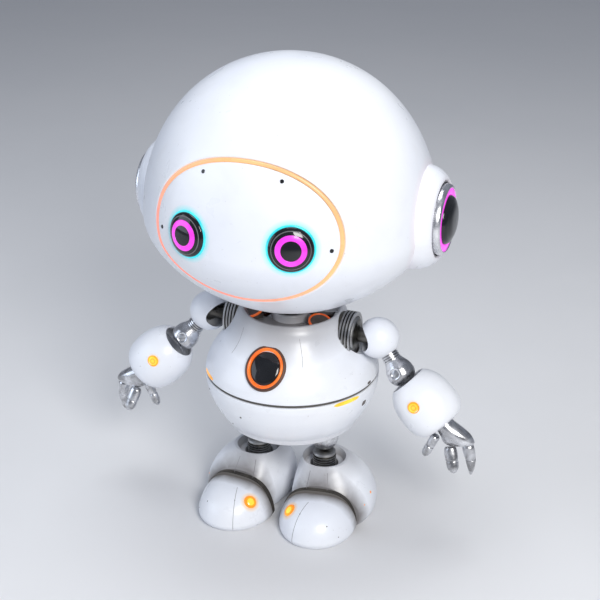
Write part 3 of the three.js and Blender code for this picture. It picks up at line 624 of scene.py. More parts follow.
def build_face(looks):
    edge = -2 * GAP - TRIM
    rings = [face_ring(edge, lift) for lift in (-2.2, -0.7)]
    rings += [face_ring(edge - 0.15, -0.28), face_ring(edge - 0.45, -0.04), face_ring(edge - 0.9, 0)]
    rings += [face_ring(edge - 0.9, 0, share=1 - i / 60) for i in range(1, 60)]
    rings.append([on_head(face_front(0, FACE["z"]))])
    add("face_plate_skin", rings_mesh(rings, sharp=60), looks["face"], "head",
        ["face_plate"])
    outer, inner = -GAP, -GAP - TRIM
    steps = ((outer, -2), (outer, -0.3), (outer - 0.3, 0.12), (outer - 0.8, 0.26), (inner + 0.3, 0.12),
             (inner, -0.3), (inner, -2))
    trim = rings_mesh([face_ring(m, lift) for m, lift in steps], wrap=True, sharp=60)
    add("face_light_skin", trim, looks["trim"], "head", ["face_light_ring"])
    for i, (x, z) in enumerate(SENSORS):
        at = on_head(face_front(x, z))
        place = basis(at, head_normal(at))
        hole = turned([(0, 0.12), (0.55, 0.16), (0.85, 0.1), (1.05, 0.16), (1.2, 0.03), (1.2, -1),
                                 (0, -1)], place, 24)
        add_pair(f"face_sensor_{i + 1}", hole, looks["lens"], "head")


def eye_ring(r, lift, count=FINE * 2):
    """A circle about the eye that follows the face's surface, raised along the eye's own axis."""
    middle = on_head(face_front(EYE["x"], EYE["z"]))
    place = basis(Vector(), head_normal(middle)).to_3x3()
    ring = []
    for k in range(1 if r == 0 else count):
        turn = TAU * k / count
        aside = place @ Vector((r * math.cos(turn), r * math.sin(turn), 0))
        point = on_head(middle + aside - Vector((0, 0, HEAD_Z)))
        ring.append(point + place @ Vector((0, 0, lift)))
    return ring


def dome(r):
    return 0.35 + EYE["proud"] * math.sqrt(max(0.0, 1 - (r / (EYE["lens"] + 0.4)) ** 2))


def build_eyes(looks):
    inner, outer = EYE["iris"]
    stops = [0, 1.5, 3, 4.4, inner, outer, 9.7, 10.5, 11.3, 12, 12.5, EYE["lens"] - 0.1]
    rings = [eye_ring(r, dome(r)) for r in stops]
    rings += [eye_ring(EYE["lens"], 0.7), eye_ring(EYE["lens"], -2.5)]
    add_pair("eye_dome", rings_mesh(rings, sharp=50), looks["lens"], "head", ["eye_lens"])
    steps = [(inner, -0.1), (inner + 0.1, 0.06)] + [(inner + (outer - inner) * t, 0.1)
                                                    for t in (0.15, 0.5, 0.85)] + [(outer - 0.1, 0.06),
                                                                                   (outer, -0.1)]
    iris = rings_mesh([eye_ring(r, dome(r) + lift) for r, lift in steps], wrap=True, sharp=60)
    add_pair("eye_iris", iris, looks["magenta"], "head", ["eye_iris_ring"])
    groove = rings_mesh([eye_ring(r, dome(r) + lift) for r, lift in
                                       ((10.8, 0), (10.95, 0.07), (11.15, 0.07), (11.3, 0))], wrap=True)
    add_pair("eye_groove", groove, looks["smoke"], "head")
    ring = [(12.95, -1.5), (12.95, 0.55), (13.25, 0.75), (13.7, 0.6), (14, 0.2), (14, -1.5)]
    glow = rings_mesh([eye_ring(r, lift) for r, lift in ring], wrap=True, sharp=60)
    add_pair("eye_glow", glow, looks["cyan"], "head", ["eye_glow_ring"])


def build_ears(looks):
    place = basis((0, EAR_Y, EAR_Z), X, Y)
    lip, face = EAR_LIP, EAR_FACE
    bulge = spline([(31.6, 66), (31.2, 74), (31.3, lip - 14), (30.4, lip - 9), (28.6, lip - 4.8),
                    (25.8, lip - 1.4), (23.6, lip - 0.1), (22.7, lip - 0.7)], 8)
    housing = [*bulge, (22.4, lip - 2), (22.4, 78), (24, 76)]
    add_pair("ear_bulge", turned(housing, place), looks["ear"], "head", ["ear_housing"])
    groove = [(22.3, lip - 6), (22.3, lip - 1.2), (22, lip - 0.6), (21.7, lip - 1.2), (21.7, lip - 6)]
    add_pair("ear_groove", turned(groove, place, wrap=True), looks["dark_metal"], "head")
    cone = [(0, face - 2.2), (18.8, face - 2.2), (18.75, face - 0.3), (18.9, face + 0.05),
            (19.2, face + 0.15),
            *spline([(19.6, face), (20.5, face - 0.9), (21.1, face - 3), (21.3, face - 8)], 5),
            (21.3, 82), (0, 82)]
    add_pair("ear_cone", turned(cone, place, sharp=60), looks["bright_metal"], "head",
             ["ear_bezel"])
    ring = [(14.9, face - 1.6), (18.6, face - 1.6), (18.6, face - 0.6), (17.4, face - 0.25),
            (15.4, face - 0.1), (14.9, face - 0.4)]
    add_pair("ear_glow", turned(ring, place, wrap=True, sharp=60), looks["magenta"], "head",
             ["ear_light_ring"])
    top = spline([(14.6, face), (13.4, face + 1.8), (11.4, face + 2.9), (7.3, face + 4.2),
                  (0.01, face + 4.6)])
    cap = [(0, face - 1.6), (14.6, face - 1.6), *top[:-1], (0, face + 4.6)]
    add_pair("ear_dome", turned(cap, place, sharp=60), looks["lens"], "head", ["ear_lens"])


# ---------------------------------------------------------------- torso


def torso_r(z):
    stops = sorted([(h, r) for r, h in (*BELLY, (WAIST_R, WAIST_Z), *CHEST, (32.4, 140.6))])
    return smooth(stops, z)


def on_torso(z, turn, lift=0.0):
    """A point on the torso at a height, turned about its axis from the front towards the robot's left."""
    r = torso_r(z)
    slope = (torso_r(z + 0.4) - torso_r(z - 0.4)) / 0.8
    out = Vector((math.sin(turn), -math.cos(turn), -slope)).normalized()
    point = TORSO + Vector((r * math.sin(turn), -r * math.cos(turn), z))
    return point + out * lift, out


def build_torso(looks):
    low, high = WAIST_Z + 0.95, WAIST_Z - 0.95
    side = spline([(WAIST_R, low + 0.6), *CHEST, (32.6, 139.6)], 8)
    rim = spline([(32.6, 139.6), (31.8, 140.5), (30.4, 140.5), (29, 139.2), (27.4, 136.6), (24, 134.9),
                  (18, DISH_FLOOR + 0.1)], 5)[1:]
    upper = [(WAIST_R - 3, low), (WAIST_R - 0.6, low), (WAIST_R - 0.15, low + 0.2), *side, *rim,
             (12, DISH_FLOOR), (11.9, DISH_FLOOR - 2.2), (30, DISH_FLOOR - 2.4), (34, 126), (43, 117),
             (52, 102)]
    body = turned(upper, TORSO_PLACE, 128, wrap=True, sharp=60)
    bores = [rod(11.8, (0, SHOULDER.y, SHOULDER.z), X * k, 80) for k in (1, -1)]
    add("torso_upper_skin", carved(body, *bores, sharp=50), looks["torso"], "torso",
        ["torso_upper_shell"])
    under = spline([*BELLY[1:], (WAIST_R, high - 0.6)], 8)
    lower = [(0, 51.2), (4, 51.25), *under, (WAIST_R - 0.15, high - 0.2), (WAIST_R - 0.6, high),
             (WAIST_R - 3, high), (WAIST_R - 3.4, 88), (42, 64), (20, 57), (0, 55)]
    belly = turned(lower, TORSO_PLACE, 128, sharp=60)
    r = HIP_R + HIP_GAP
    cup = [(0, -r), *[(r * math.sin(a), -r * math.cos(a)) for a in (0.3, 0.6, 0.9, 1.2, 1.57, 1.9, 2.3, 2.7)],
           (0, r)]
    cups = [turned(cup, Matrix.Translation((k * ANKLE.x, ANKLE.y, HIP_Z)), 40) for k in (1, -1)]
    add("torso_lower_skin", carved(belly, *cups, sharp=50), looks["torso"], "torso",
        ["torso_lower_shell"])
    band = [(50, WAIST_Z - 0.65), (54.3, WAIST_Z - 0.65), (54.6, WAIST_Z - 0.3), (54.6, WAIST_Z + 0.3),
            (54.3, WAIST_Z + 0.65), (50, WAIST_Z + 0.65)]
    add("waist_band", turned(band, TORSO_PLACE, 128, wrap=True),
        looks["rubber"], "torso", ["waist_gasket"])
    build_chest_light(looks)
    build_neck(looks)
    build_torso_details(looks)


def build_chest_light(looks):
    normal = Vector((0, -math.cos(CHEST_TILT), math.sin(CHEST_TILT)))
    place = basis(TORSO + Vector((0, -CHEST_LIGHT_R, CHEST_LIGHT_Z)), normal)
    place = place @ Matrix.Diagonal((CHEST_SQUEEZE, 1.0, 1.0, 1.0))
    seat = [(12.5, -6), (14.3, -6), (14.3, 0.1), (14, 0.5), (13.2, 0.7), (12.5, 0.6)]
    add("chest_seat", turned(seat, place, wrap=True, sharp=60), looks["rust"], "torso")
    ring = [(10.7, -6), (13, -6), (13, 0.1), *spline([(12.6, 0.8), (12.1, 1.3), (11.5, 1.3), (10.9, 0.8)], 4),
            (10.7, 0.4)]
    add("chest_glow", turned(ring, place, wrap=True, sharp=60), looks["orange"], "torso",
        ["chest_light_ring"])
    top = spline([(10.5, 0.1), (9, 0.9), (6, 1.55), (3, 1.75), (0.01, 1.8)], 6)
    cap = [(0, -6), (10.5, -6), *top[:-1], (0, 1.8)]
    add("chest_dome", turned(cap, place, sharp=60), looks["lens"], "torso", ["chest_lens"])


def build_neck(looks):
    rim = [(7.8, 130), (15.4, 130), (15.4, 131.2), (11.6, 131.2), (11.6, 137.6),
           *spline([(11.6, 137.8), (11.1, 138.9), (10.2, 139.2), (9.2, 138.8)], 4), (8.4, 137.2), (7.8, 136)]
    add("neck_collar_skin", turned(rim, wrap=True), looks["collar"], "torso", ["neck_collar"])
    post = [(0, 131), (7.2, 131), *ribs(132, 140, 1.7, 7.2, 0.5, (1, 1.2, 1.5)), (7.1, 140.6),
            (5.8, 141.2), (5.8, 142.6), (7, 143.4), (7, 146.4), (5, 147.8), (0, 147.8)]
    add("neck_post_skin", turned(post, facets=FINE), looks["dark_metal"], "neck",
        ["neck_post"])


def build_torso_details(looks):
    place = basis(COLLAR_LIGHT["at"], COLLAR_LIGHT["axis"])
    r = COLLAR_LIGHT["r"]
    ring = [(r - 1.2, -0.6), (r, -0.6), (r, 0.35), (r - 0.3, 0.6), (r - 0.9, 0.6), (r - 1.2, 0.35)]
    add_pair("collar_glow", turned(ring, place, FINE * 2, wrap=True, sharp=60),
             looks["dim_orange"], "torso")
    # Painted shadow: the window inside each collar light is dark brown for the head's shadow over it.
    dish = [(0, -6), (r - 0.6, -5), (r, -0.65), (r - 1.25, -0.65), (r - 1.25, 0.1), (r - 2.2, -0.35),
            (r - 4.2, -0.6), (0, -0.65)]
    add_pair("collar_window", turned(dish, place, FINE * 2, sharp=60), looks["recess_shade"],
             "torso")
    patch("waist_window_front", 0.84, 1.20, 94.4, 96.9, looks["yellow"])
    patch("waist_window_side", -1.06, -0.74, 99.2, 101.8, looks["gold"])
    patch("belly_window", 0.62, 0.74, 58.6, 60.2, looks["orange"])
    # The slot and the notch are painted shade: dark patches for the shade inside them.
    patch("waist_slot", 1.29, 1.37, 86.0, 89.6, looks["recess_shade"])
    patch("waist_notch", 1.37, 1.45, 99.3, 101.2, looks["recess_shade"])
    # Painted shade: small dark discs for the shade in the shell's holes.
    for k, (z, turn) in enumerate(((84, -0.28), (72, -0.55), (66, 0.2), (90, -0.9), (106, 2.4), (84, 2.9))):
        at, out = on_torso(z, turn)
        dot = turned([(0, 0.1), (0.4, 0.12), (0.7, 0.02), (0.7, -0.8), (0, -0.8)], basis(at, out), 16)
        add(f"shell_dot_{k + 1}", dot, looks["recess_shade"], "torso")
    for k, turn in enumerate((-0.62, 0.5)):
        line = [on_torso(119.5 + 15 * i / 14, turn + 0.012 * math.sin(i * 0.3)) for i in range(15)]
        strip = ribbon([p for p, _ in line], [n for _, n in line], 0.22)
        add(f"chest_panel_line_{k + 1}", strip, looks["seam"], "torso")


def patch(name, first, last, low, high, look):
    """A small window with rounded ends set in the torso's skin, between two turns and two heights."""
    rows, columns = 7, 15
    middle, half = (low + high) / 2, (high - low) / 2
    top, under = [], []
    for i in range(columns):
        t = 2 * i / (columns - 1) - 1
        wide = half * max(0.02, (1 - abs(t) ** 5)) ** 0.5
        turn = (first + last) / 2 + (last - first) / 2 * t
        heights = [middle + wide * (2 * j / (rows - 1) - 1) for j in range(rows)]
        crown = [0.14 * (1 - (2 * j / (rows - 1) - 1) ** 4) * (1 - t ** 6) for j in range(rows)]
        top.append([on_torso(z, turn, lift)[0] for z, lift in zip(heights, crown)])
        under.append([on_torso(z, turn, -0.7)[0] for z in heights])
    rings = [[*t, *reversed(u)] for t, u in zip(top, under)]
    add(name, rings_mesh(capped(rings), sharp=60), look, "torso")


# ---------------------------------------------------------------- arms


def build_shoulders(looks):
    place = basis(SHOULDER, X, Y)
    face = -13.4
    drum = [(0, -24), (9.2, -24), (11, -23), *ribs(-22.4, face - 3.2, 1.4, 11, 0.7, (0.7, 0.9, 1.25))]
    drum += [(10.8, face - 1.6), (10.2, face - 0.7), (8.6, face), (6, face), (4.6, face + 1.2), (4.4, -4.6),
             (6.2, -1), (5.6, 2.6), (3, 5.2), (0, 5.4)]
    add_pair("shoulder_drum", turned(drum, place), looks["dark_metal"], "shoulder",
             ["shoulder_mount"])
    ring = [(11.3, -28), (11.3, -15), (12.2, -14.6),
            *ribs(-14.9, -22, -2.0, SOCKET_R, 0.9, (1.1, 1.35, 1.75)), (SOCKET_R - 0.9, -28)]
    add_pair("socket_ring", turned(ring, place, wrap=True), looks["socket"], "torso")
    steps = [math.pi * i / 40 for i in range(41)]
    outside = [(BALL_R * math.sin(a), -BALL_R * math.cos(a)) for a in steps]
    inside = [(11 * math.sin(a), -11 * math.cos(a)) for a in steps]
    shape = Matrix.Translation(SHOULDER)
    whole = turned(outside, shape)
    axis = Vector((-0.93, -0.36, 0)).normalized()
    slot = turned([(0, 0), (1, 0), (1, 22), (0, 22)],
                  basis(SHOULDER, axis, Z) @ Matrix.Diagonal((7.8, 10.6, 1, 1)), FINE * 2)
    hole = rod(5.9, SHOULDER, ELBOW - SHOULDER, 20)
    ball = carved(whole, turned(inside, shape), slot, hole, sharp=45)
    add_pair("shoulder_ball_skin", ball, looks["shell"], "upper_arm", ["shoulder_ball"])


def build_upper_arm(looks):
    run = ELBOW - SHOULDER
    length = run.length
    place = basis(SHOULDER, run, Z)
    neck = [(0, 8.4), (4.8, 8.4), (5.6, 9.2), *ribs(9.4, 15.6, 1.5, 5.6, 0.55, (0.7, 0.95, 1.3))]
    flare = spline([(5.5, 16.3), (6.4, 18.2), (7.6, 20.6), (ELBOW_R - 0.3, length - 2.6),
                    (ELBOW_R, length + 0.6), (8.3, length + 2.8), (6.6, length + 5.4),
                    (3.4, length + 7.2)])
    link = [*neck, *flare, (0, length + 7.4)]
    add_pair("upper_arm_skin", turned(link, place, 72), looks["metal"], "upper_arm",
             ["upper_arm"])
    front = Vector((-0.15, -0.95, 0.3)).normalized()
    seat = basis(ELBOW + front * (ELBOW_R - 1.3), front)
    cup = [(0, -1), (3.6, -1), (3.6, 1.2), (3.2, 1.7), (2.6, 1.5), (2.3, 0.7), (0, 0.5)]
    add_pair("elbow_pivot", turned(cup, seat, FINE), looks["bright_metal"], "upper_arm")
    # Painted shade: a dark strip for the shade in the elbow's slot.
    slot = [seat @ Vector((1.5 * math.sin(2.6 * t), 1.9 * t, 0.75)) for t in
            [i / 8 - 1 for i in range(17)]]
    strip = ribbon(slot, [front] * len(slot), 0.7, 0.12, 0.4)
    add_pair("elbow_slot", strip, looks["recess_shade"], "upper_arm")


def build_forearm(looks):
    place = basis(ELBOW, FOREARM_AXIS, Z)
    outer = spline(FOREARM, 8)
    inner = [(9.4, 40.6), (9.2, 38.6), (14, 36.8), (15.8, 31), (16.2, 25), (15.4, 18.4), (13.9, 13),
             (11.6, 9), (10.9, 6.9), (11.3, 6.35)]
    shell = turned([*outer, *inner], place, wrap=True, sharp=50)
    add_pair("forearm_skin", shell, looks["forearm"], "forearm", ["forearm_shell"])
    mouth = [(10.7, 7.6), (11.2, 7.1), (11.3, 8), (12.8, 12), (14.4, 17), (14.2, 17.6), (12.4, 12.6),
             (10.6, 8.4)]
    add_pair("forearm_mouth", turned(mouth, place, wrap=True), looks["metal"], "forearm")
    at = place.inverted() @ FOREARM_LIGHT
    out = (place.to_3x3() @ Vector((at.x, at.y, 0))).normalized()
    r = smooth([(h, w) for w, h in FOREARM], at.z)
    seat = basis(place @ Vector((0, 0, at.z)) + out * r, out)
    size = FOREARM_LIGHT_R
    edge = [(size - 0.8, -1), (size, -1), (size + 0.15, 0.0), (size, 0.3), (size - 0.5, 0.36),
            (size - 0.8, 0.1)]
    add_pair("forearm_glow_edge", turned(edge, seat, FINE, wrap=True), looks["gold"],
             "forearm")
    inner = [(1.15, -0.6), (1.75, -0.6), (1.75, 0.3), (1.6, 0.42), (1.3, 0.42), (1.15, 0.3)]
    add_pair("forearm_glow_inner", turned(inner, seat, FINE, wrap=True),
             looks["gold"], "forearm")
    disc = [(0, -1), (size - 0.82, -1), (size - 0.82, 0.18), (2.2, 0.34), (1.9, 0.2), (1, 0.2), (0, 0.3)]
    add_pair("forearm_glow", turned(disc, seat, FINE), looks["yellow"], "forearm",
             ["forearm_light"])


def build_hand(looks):
    place = basis(WRIST, HAND_AXIS)
    palm = limb(PALM, place, crown=0.02)
    add_pair("palm_skin", palm, looks["metal"], "hand", ["palm"])
    for name, (root, tip, sizes) in DIGITS.items():
        start, run = Vector(root), Vector(tip) - Vector(root)
        stations = [(t * run.length, *rest) for t, *rest in sizes]
        digit = limb(stations, basis(start, run), 32, heel=0.02)
        add_pair(f"{name}_skin", digit, looks["metal"], name, [name])


# ---------------------------------------------------------------- legs


def boot_frame():
    return basis(ANKLE, Z, Vector((math.cos(TOE_OUT), math.sin(TOE_OUT), 0)))


def quarter_round(turn, right, left, front, back, power):
    c, s = math.cos(turn), math.sin(turn)
    wide, deep = (right if s > 0 else left), (back if c > 0 else front)
    length = ((abs(s) / wide) ** power + (abs(c) / deep) ** power) ** (-1 / power)
    return s * length, c * length


def boot_point(turn, z, inset=0.0):
    sizes = [smooth(stops, z) - inset for stops in (BOOT_OUTER, BOOT_INNER, BOOT_FRONT, BOOT_BACK)]
    x, y = quarter_round(turn, *sizes, 2.25)
    return Vector((x, y, z))


def sole_share(z):
    """How far the toe cap's foot is drawn in near the ground."""
    return 1 - SOLE_TUCK * max(0.0, 1 - z / 5) ** 2


def toe_point(turn, t):
    """A point of the toe cap, from the ground at t = 0 to its top at t = 1."""
    z = TOE_HEIGHT * math.sin(t * math.pi / 2)
    k = max(0.0, math.cos(t * math.pi / 2)) ** TOE_SWELL * sole_share(z)
    x, y = quarter_round(turn, *TOE_SIZES, 2.1)
    return Vector((TOE_X + k * x, TOE_Y + k * y, z))


def outward(surface, turn, key):
    """A surface point and its outward direction, by small steps along the surface."""
    point = surface(turn, key)
    a = surface(turn + 0.02, key) - surface(turn - 0.02, key)
    b = surface(turn, key + 0.01) - surface(turn, key - 0.01)
    normal = a.cross(b).normalized()
    aside = Vector((point.x, point.y, 0)) - Vector((TOE_X, -10, 0))
    return point, normal if normal.dot(aside + Z * 6) > 0 else -normal


def boot_body(place):
    turns = [TAU * k / 120 for k in range(120)]
    heights = [0, 0.5, 1.2, *[2 + 35.4 * i / 44 for i in range(45)]]
    heights = [h for h in heights if h < BOOT_TOP - 0.2]
    rings = [[Vector((0, 0, 0))], [boot_point(a, 0, 0.7) for a in turns]]
    rings += [[boot_point(a, z) for a in turns] for z in heights[1:]]
    rings += [[boot_point(a, BOOT_TOP - 0.15) for a in turns],
              [boot_point(a, BOOT_TOP - 0.15, 0.5) + Z * 0.15 for a in turns], [Vector((0, 0, BOOT_TOP))]]
    return rings_mesh([[place @ p for p in ring] for ring in rings])


def toe_body(place, rows=46):
    turns = [TAU * k / 120 for k in range(120)]
    rings = [[Vector((TOE_X, TOE_Y, 0))]]
    rings += [[toe_point(a, i / rows) for a in turns] for i in range(rows)]
    rings += [[Vector((TOE_X, TOE_Y, TOE_HEIGHT))]]
    return rings_mesh([[place @ p for p in ring] for ring in rings])


def build_boot(looks):
    place = boot_frame()
    low, high = BOOT_TOP - COLLAR_DEPTH, BOOT_TOP + 1
    collar = turned([(0, low), (COLLAR_R - 2.4, low), (COLLAR_R - 1.4, low + 0.4),
                               (COLLAR_R - 0.2, high - 2), (COLLAR_R + 0.5, high), (0, high)], place)
    front = slab(-150, BELLOWS_PLANE, place)
    well = turned([(0, 24), (ANKLE_HOLE_R, 24), (ANKLE_HOLE_R, 36), (0, 36)], place, 64)
    boot = carved(boot_body(place), front, collar, well, sharp=35)
    add_pair("boot_skin", boot, looks["boot"], "foot", ["boot_shell"])
    seat = turned([(0, 0), (FOOT_LIGHT_R + 0.2, 0), (FOOT_LIGHT_R + 0.2, 12), (0, 12)],
                  basis(place @ FOOT_LIGHT, place.to_3x3() @ FOOT_LIGHT_AXIS), FINE)
    cap = carved(toe_body(place), slab(CAP_PLANE, 150, place), seat, sharp=35)
    add_pair("toe_cap_skin", cap, looks["boot"], "foot", ["toe_cap"])
    build_bellows(looks, place)
    build_boot_details(looks, place)


def build_bellows(looks, place):
    """Ribs of dark rubber between the boot and the toe cap."""
    rings, steps, ribs = [], 36, 3
    rises = [i / 30 for i in range(31)]
    for i in range(steps + 1):
        y = BELLOWS_PLANE - 0.1 + (CAP_PLANE - BELLOWS_PLANE + 0.2) * i / steps
        sink = BELLOWS_INSET + 0.25 - 0.45 * math.cos(TAU * ribs * i / steps)
        right = [toe_section(t, sink, 1, y) for t in rises]
        left = [toe_section(t, sink, -1, y) for t in reversed(rises[:-1])]
        rings.append([*right, *left])
    mesh = rings_mesh([[place @ p for p in ring] for ring in capped(rings)], sharp=70)
    add_pair("bellows_skin", mesh, looks["rubber"], "foot", ["boot_bellows"])


def toe_section(t, inset, side, y):
    """The toe's outline where the bellows lies, from the ground at t = 0 to its top at t = 1."""
    wide = (25.5 - inset) * max(0.0, math.cos(t * math.pi / 2)) ** TOE_SWELL
    z = (TOE_HEIGHT - inset) * BELLOWS_RISE * math.sin(t * math.pi / 2)
    return Vector((TOE_X + side * wide * sole_share(z), y, z))


def build_boot_details(looks, place):
    rotate = place.to_3x3()
    size = FOOT_LIGHT_R
    top, normal = foot_light_top(place)
    seat = basis(top, normal)
    edge = [(size - 1.5, -2), (size, -2), (size, -0.1), (size - 0.3, 0.25), (size - 1.5, 0.25)]
    add_pair("foot_glow_edge", turned(edge, seat, FINE, wrap=True), looks["amber"], "foot")
    disc = [(0, -2), (size - 1.52, -2), (size - 1.52, 0.2), (1.5, 0.5), (0, 0.6)]
    add_pair("foot_glow", turned(disc, seat, FINE), looks["yellow"], "foot", ["foot_light"])
    for k, x in enumerate((-7.6, 6.6)):
        line = [outward(boot_point, math.pi - math.asin(max(-1, min(1, x / 24))) * (1.0 + 0.2 * i / 15),
                        22.6 + 11.4 * i / 15) for i in range(16)]
        strip = ribbon([place @ p for p, _ in line], [rotate @ n for _, n in line], 0.3)
        add_pair(f"boot_panel_line_{k + 1}", strip, looks["seam"], "foot")
    line = [outward(toe_point, math.pi + 0.36, 0.06 + 0.8 * i / 24) for i in range(25)]
    line = [(p, n) for p, n in line if p.y < CAP_PLANE - 0.6]
    strip = ribbon([place @ p for p, _ in line], [rotate @ n for _, n in line], 0.26)
    add_pair("toe_panel_line", strip, looks["seam"], "foot")
    # The brown marks are painted shade: dark discs standing for the shade in small holes.
    marks = ((boot_point, 1.75, 17.5, 0.9, "amber"), (boot_point, 2.05, 13.5, 0.45, "amber"),
             (toe_point, 2.75, 0.45, 0.4, "recess_shade"), (toe_point, 3.5, 0.62, 0.35, "recess_shade"),
             (toe_point, 2.5, 0.2, 0.35, "recess_shade"))
    for k, (surface, turn, key, r, look) in enumerate(marks):
        point, normal = outward(surface, turn, key)
        dot = turned([(0, 0.08), (r * 0.7, 0.1), (r, 0.0), (r, -0.6), (0, -0.6)],
                     basis(place @ point, rotate @ normal), 16)
        add_pair(f"boot_dot_{k + 1}", dot, looks[look], "foot")


def foot_light_top(place):
    """Where the foot light's axis leaves the toe cap."""
    best = None
    for i in range(240):
        for j in range(60):
            point = toe_point(TAU * i / 240, j / 60)
            aside = point - FOOT_LIGHT
            away = (aside - FOOT_LIGHT_AXIS * aside.dot(FOOT_LIGHT_AXIS)).length
            if aside.dot(FOOT_LIGHT_AXIS) > 0 and (best is None or away < best[0]):
                best = (away, i, j)
    point, normal = outward(toe_point, TAU * best[1] / 240, best[2] / 60)
    return place @ point, place.to_3x3() @ normal


def build_legs(looks):
    post = [(0, 29.6), (5.6, 29.6), (7.4, 30.8), *ribs(31.2, 39.4, 1.65, 7.6, 0.6, (0.8, 1.05, 1.4)),
            (7.6, 40), (7.2, 41.2), (5, 42.2), (0, 42.4)]
    add_pair("ankle_post_skin", turned(post, Matrix.Translation(ANKLE), 64),
             looks["dark_metal"], "leg", ["ankle_post"])
    steps = [math.pi * i / 32 for i in range(33)]
    ball = [(HIP_R * math.sin(a), HIP_Z - HIP_R * math.cos(a)) for a in steps]
    add_pair("hip_ball_skin", turned(ball, Matrix.Translation(ANKLE), 72), looks["metal"],
             "leg", ["hip_ball"])


# ---------------------------------------------------------------- stage


def build_stage():
    look = Look("studio_floor")
    drift = look.span(look.noise(2.5, 3), 0.3, 0.7)
    look.set("Base Color", look.mix(drift, rgb(0.70, 0.705, 0.72), rgb(0.735, 0.735, 0.745)))
    look.set("Roughness", look.span(look.noise(30, 4), 0.3, 0.7, 0.55, 0.7))
    look.bump(look.noise(400, 3), 0.04, 0.0004)
    flat, wide, tall = 3600.0, 2600.0, 1300.0
    sweep = [(flat + wide * math.sin(a), tall * (1 - math.cos(a)) - 0.05)
             for a in [math.pi / 2 * i / 16 for i in range(17)]]
    mesh = turned([(0, -0.05), (600, -0.05), (1800, -0.05), *sweep])
    mesh.materials.append(look.material)
    floor = bpy.data.objects.new("floor", mesh)
    bpy.context.scene.collection.objects.link(floor)


def area_light(name, at, size, power, color):
    data = bpy.data.lights.new(name, "AREA")
    data.size, data.energy, data.color = size * MM, power, color
    lamp = bpy.data.objects.new(name, data)
    lamp.location = Vector(at) * MM
    lamp.rotation_euler = (Vector((0, 0, 150)) - Vector(at)).to_track_quat("-Z", "Y").to_euler()
    bpy.context.scene.collection.objects.link(lamp)


def build_lights():
    world = bpy.data.worlds.new("studio")
    world.use_nodes = True
    world.node_tree.nodes["Background"].inputs["Color"].default_value = rgb(0.80, 0.86, 1.0)
    world.node_tree.nodes["Background"].inputs["Strength"].default_value = 0.30
    bpy.context.scene.world = world
    bpy.context.scene.view_settings.view_transform = "Standard"
    area_light("key", (620, -760, 760), 420, 10.5, (1.0, 0.985, 0.96))
    area_light("fill", (-900, -520, 420), 700, 3.0, (0.78, 0.87, 1.0))
    area_light("top", (-60, 160, 1150), 520, 5.0, (0.96, 0.98, 1.0))


def build_camera():
    data = bpy.data.cameras.new("camera")
    data.sensor_width = 36.0
    data.lens = data.sensor_width / 2 / math.tan(math.radians(CAMERA_VIEW / 2))
    data.clip_start, data.clip_end = 0.01, 20
    camera = bpy.data.objects.new("camera", data)
    camera.location = CAMERA_AT * MM
    camera.rotation_euler = (CAMERA_AIM - CAMERA_AT).to_track_quat("-Z", "Y").to_euler()
    bpy.context.scene.collection.objects.link(camera)
    bpy.context.scene.camera = camera


def bellows_plane():
    """The middle of the bellows and its direction, for the painted shade and grime on either side of it."""
    place = boot_frame()
    return place @ Vector((0, (CAP_PLANE + BELLOWS_PLANE) / 2, 0)), place.to_3x3() @ Y


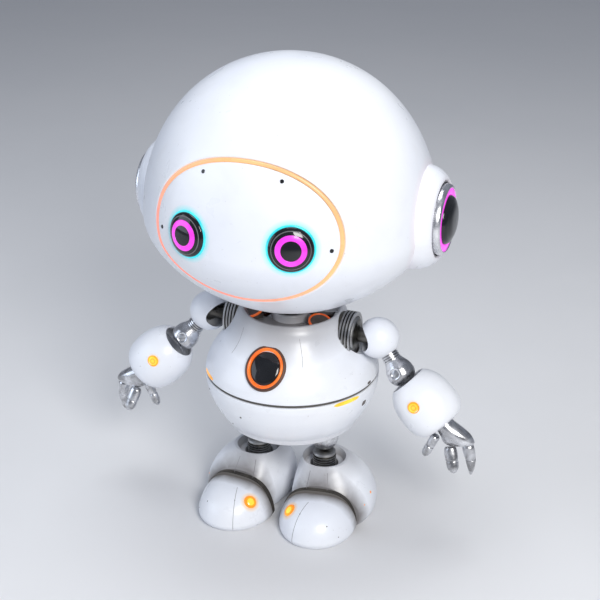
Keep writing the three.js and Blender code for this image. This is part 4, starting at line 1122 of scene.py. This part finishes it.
def make_looks():
    eye = on_head(face_front(EYE["x"], EYE["z"]))
    ear = Vector((84, EAR_Y, EAR_Z))
    foot, _ = foot_light_top(boot_frame())
    return {
        # Painted light: pink glow from the ear light on the head shell.
        "head": shell_look("head_shell", [(ear, 30, 36, PINK, 0.16)]),
        # Painted light: cyan glow from the eye rings on the face plate.
        "face": shell_look("face_shell", [(eye, 13.6, 17.0, CYAN, 0.75)]),
        # Painted shadow of the head, with some grime, darkening the top of the chest round the neck.
        "torso": shell_look("torso_shell", [((0, -6, 141), 21, 44, GRIME_AND_SHADE, 0.85)]),
        "shell": shell_look("ball_shell"),
        # Painted light: pink glow from the ear light on the ear housing.
        "ear": shell_look("ear_shell", [(ear - X * 14, 29, 34, PINK, 0.3)]),
        # Painted light: amber glow round the forearm light.
        "forearm": shell_look("forearm_shell", [(FOREARM_LIGHT, 3.4, 5.2, AMBER, 0.5)]),
        # Painted light: amber glow round the toe light. Painted shade, with some grime: round the boot's
        # collar, in the creases and beside the bellows.
        "boot": shell_look("boot_shell", [(foot, 3.6, 6.8, AMBER, 0.75),
                                          (ANKLE + Z * 38, 13, 27, GRIME_AND_SHADE, 0.42)], 0.9, bellows_plane()),
        "metal": metal_look("worn_metal", (0.78, 0.79, 0.82), (0.36, 0.36, 0.37), (0.18, 0.42)),
        "bright_metal": metal_look("bright_metal", (0.88, 0.89, 0.92), (0.64, 0.65, 0.68), (0.16, 0.34), 0.4),
        "dark_metal": metal_look("dark_metal", (0.26, 0.25, 0.23), (0.09, 0.085, 0.075), (0.25, 0.5)),
        "rubber": rubber_look(),
        "collar": plastic_look("collar_grey", (0.50, 0.50, 0.52), (0.62, 0.62, 0.65), (0.25, 0.4)),
        "lens": lens_look(),
        "inner": plastic_look("inner_plastic", (0.04, 0.045, 0.05), (0.075, 0.08, 0.09), (0.5, 0.7)),
        "smoke": plastic_look("smoke_line", (0.10, 0.10, 0.11), (0.16, 0.16, 0.17), (0.25, 0.4)),
        "seam": plastic_look("seam_shadow", (0.16, 0.15, 0.16), (0.24, 0.23, 0.24), (0.6, 0.8)),
        # Painted shade: a dark finish on holes, slots and windows that stands for the shade inside them.
        "recess_shade": plastic_look("painted_recess_shade", (0.06, 0.052, 0.048), (0.12, 0.10, 0.09), (0.4, 0.6)),
        "rust": plastic_look("chest_seat", (0.06, 0.03, 0.02), (0.12, 0.05, 0.03), (0.4, 0.6)),
        "trim": trim_look(),
        "cyan": glow_look("cyan_light", (0.03, 0.72, 0.84), (0.07, 0.82, 0.90), 0.95),
        "magenta": glow_look("magenta_light", (0.92, 0.045, 0.80), (1.0, 0.075, 0.92), 0.95),
        "orange": glow_look("orange_light", (1.0, 0.15, 0.015), (1.0, 0.24, 0.03), 0.9),
        "dim_orange": glow_look("dim_orange_light", (0.75, 0.10, 0.02), (0.9, 0.17, 0.03), 0.5),
        "gold": glow_look("gold_light", (1.0, 0.40, 0.02), (1.0, 0.48, 0.04), 0.92),
        "socket": metal_look("socket_metal", (0.15, 0.14, 0.12), (0.05, 0.046, 0.04), (0.32, 0.55), 0.6),
        "amber": glow_look("amber_light", (1.0, 0.30, 0.015), (1.0, 0.38, 0.03), 0.95),
        "yellow": glow_look("yellow_light", (1.0, 0.60, 0.03), (1.0, 0.72, 0.08), 0.98),
    }


def dress_inner_nodes(looks):
    """The CAD nodes inside the shells keep their shapes and take a moulded finish."""
    for name in ("head_bracket", "torso_frame", "neck_servo", "battery_pack", "control_board"):
        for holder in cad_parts[name].material_slots:
            holder.material = looks["inner"]


looks = make_looks()
build_head(looks)
build_torso(looks)
build_shoulders(looks)
build_upper_arm(looks)
build_forearm(looks)
build_hand(looks)
build_boot(looks)
build_legs(looks)
dress_inner_nodes(looks)
build_stage()
build_lights()
build_camera()
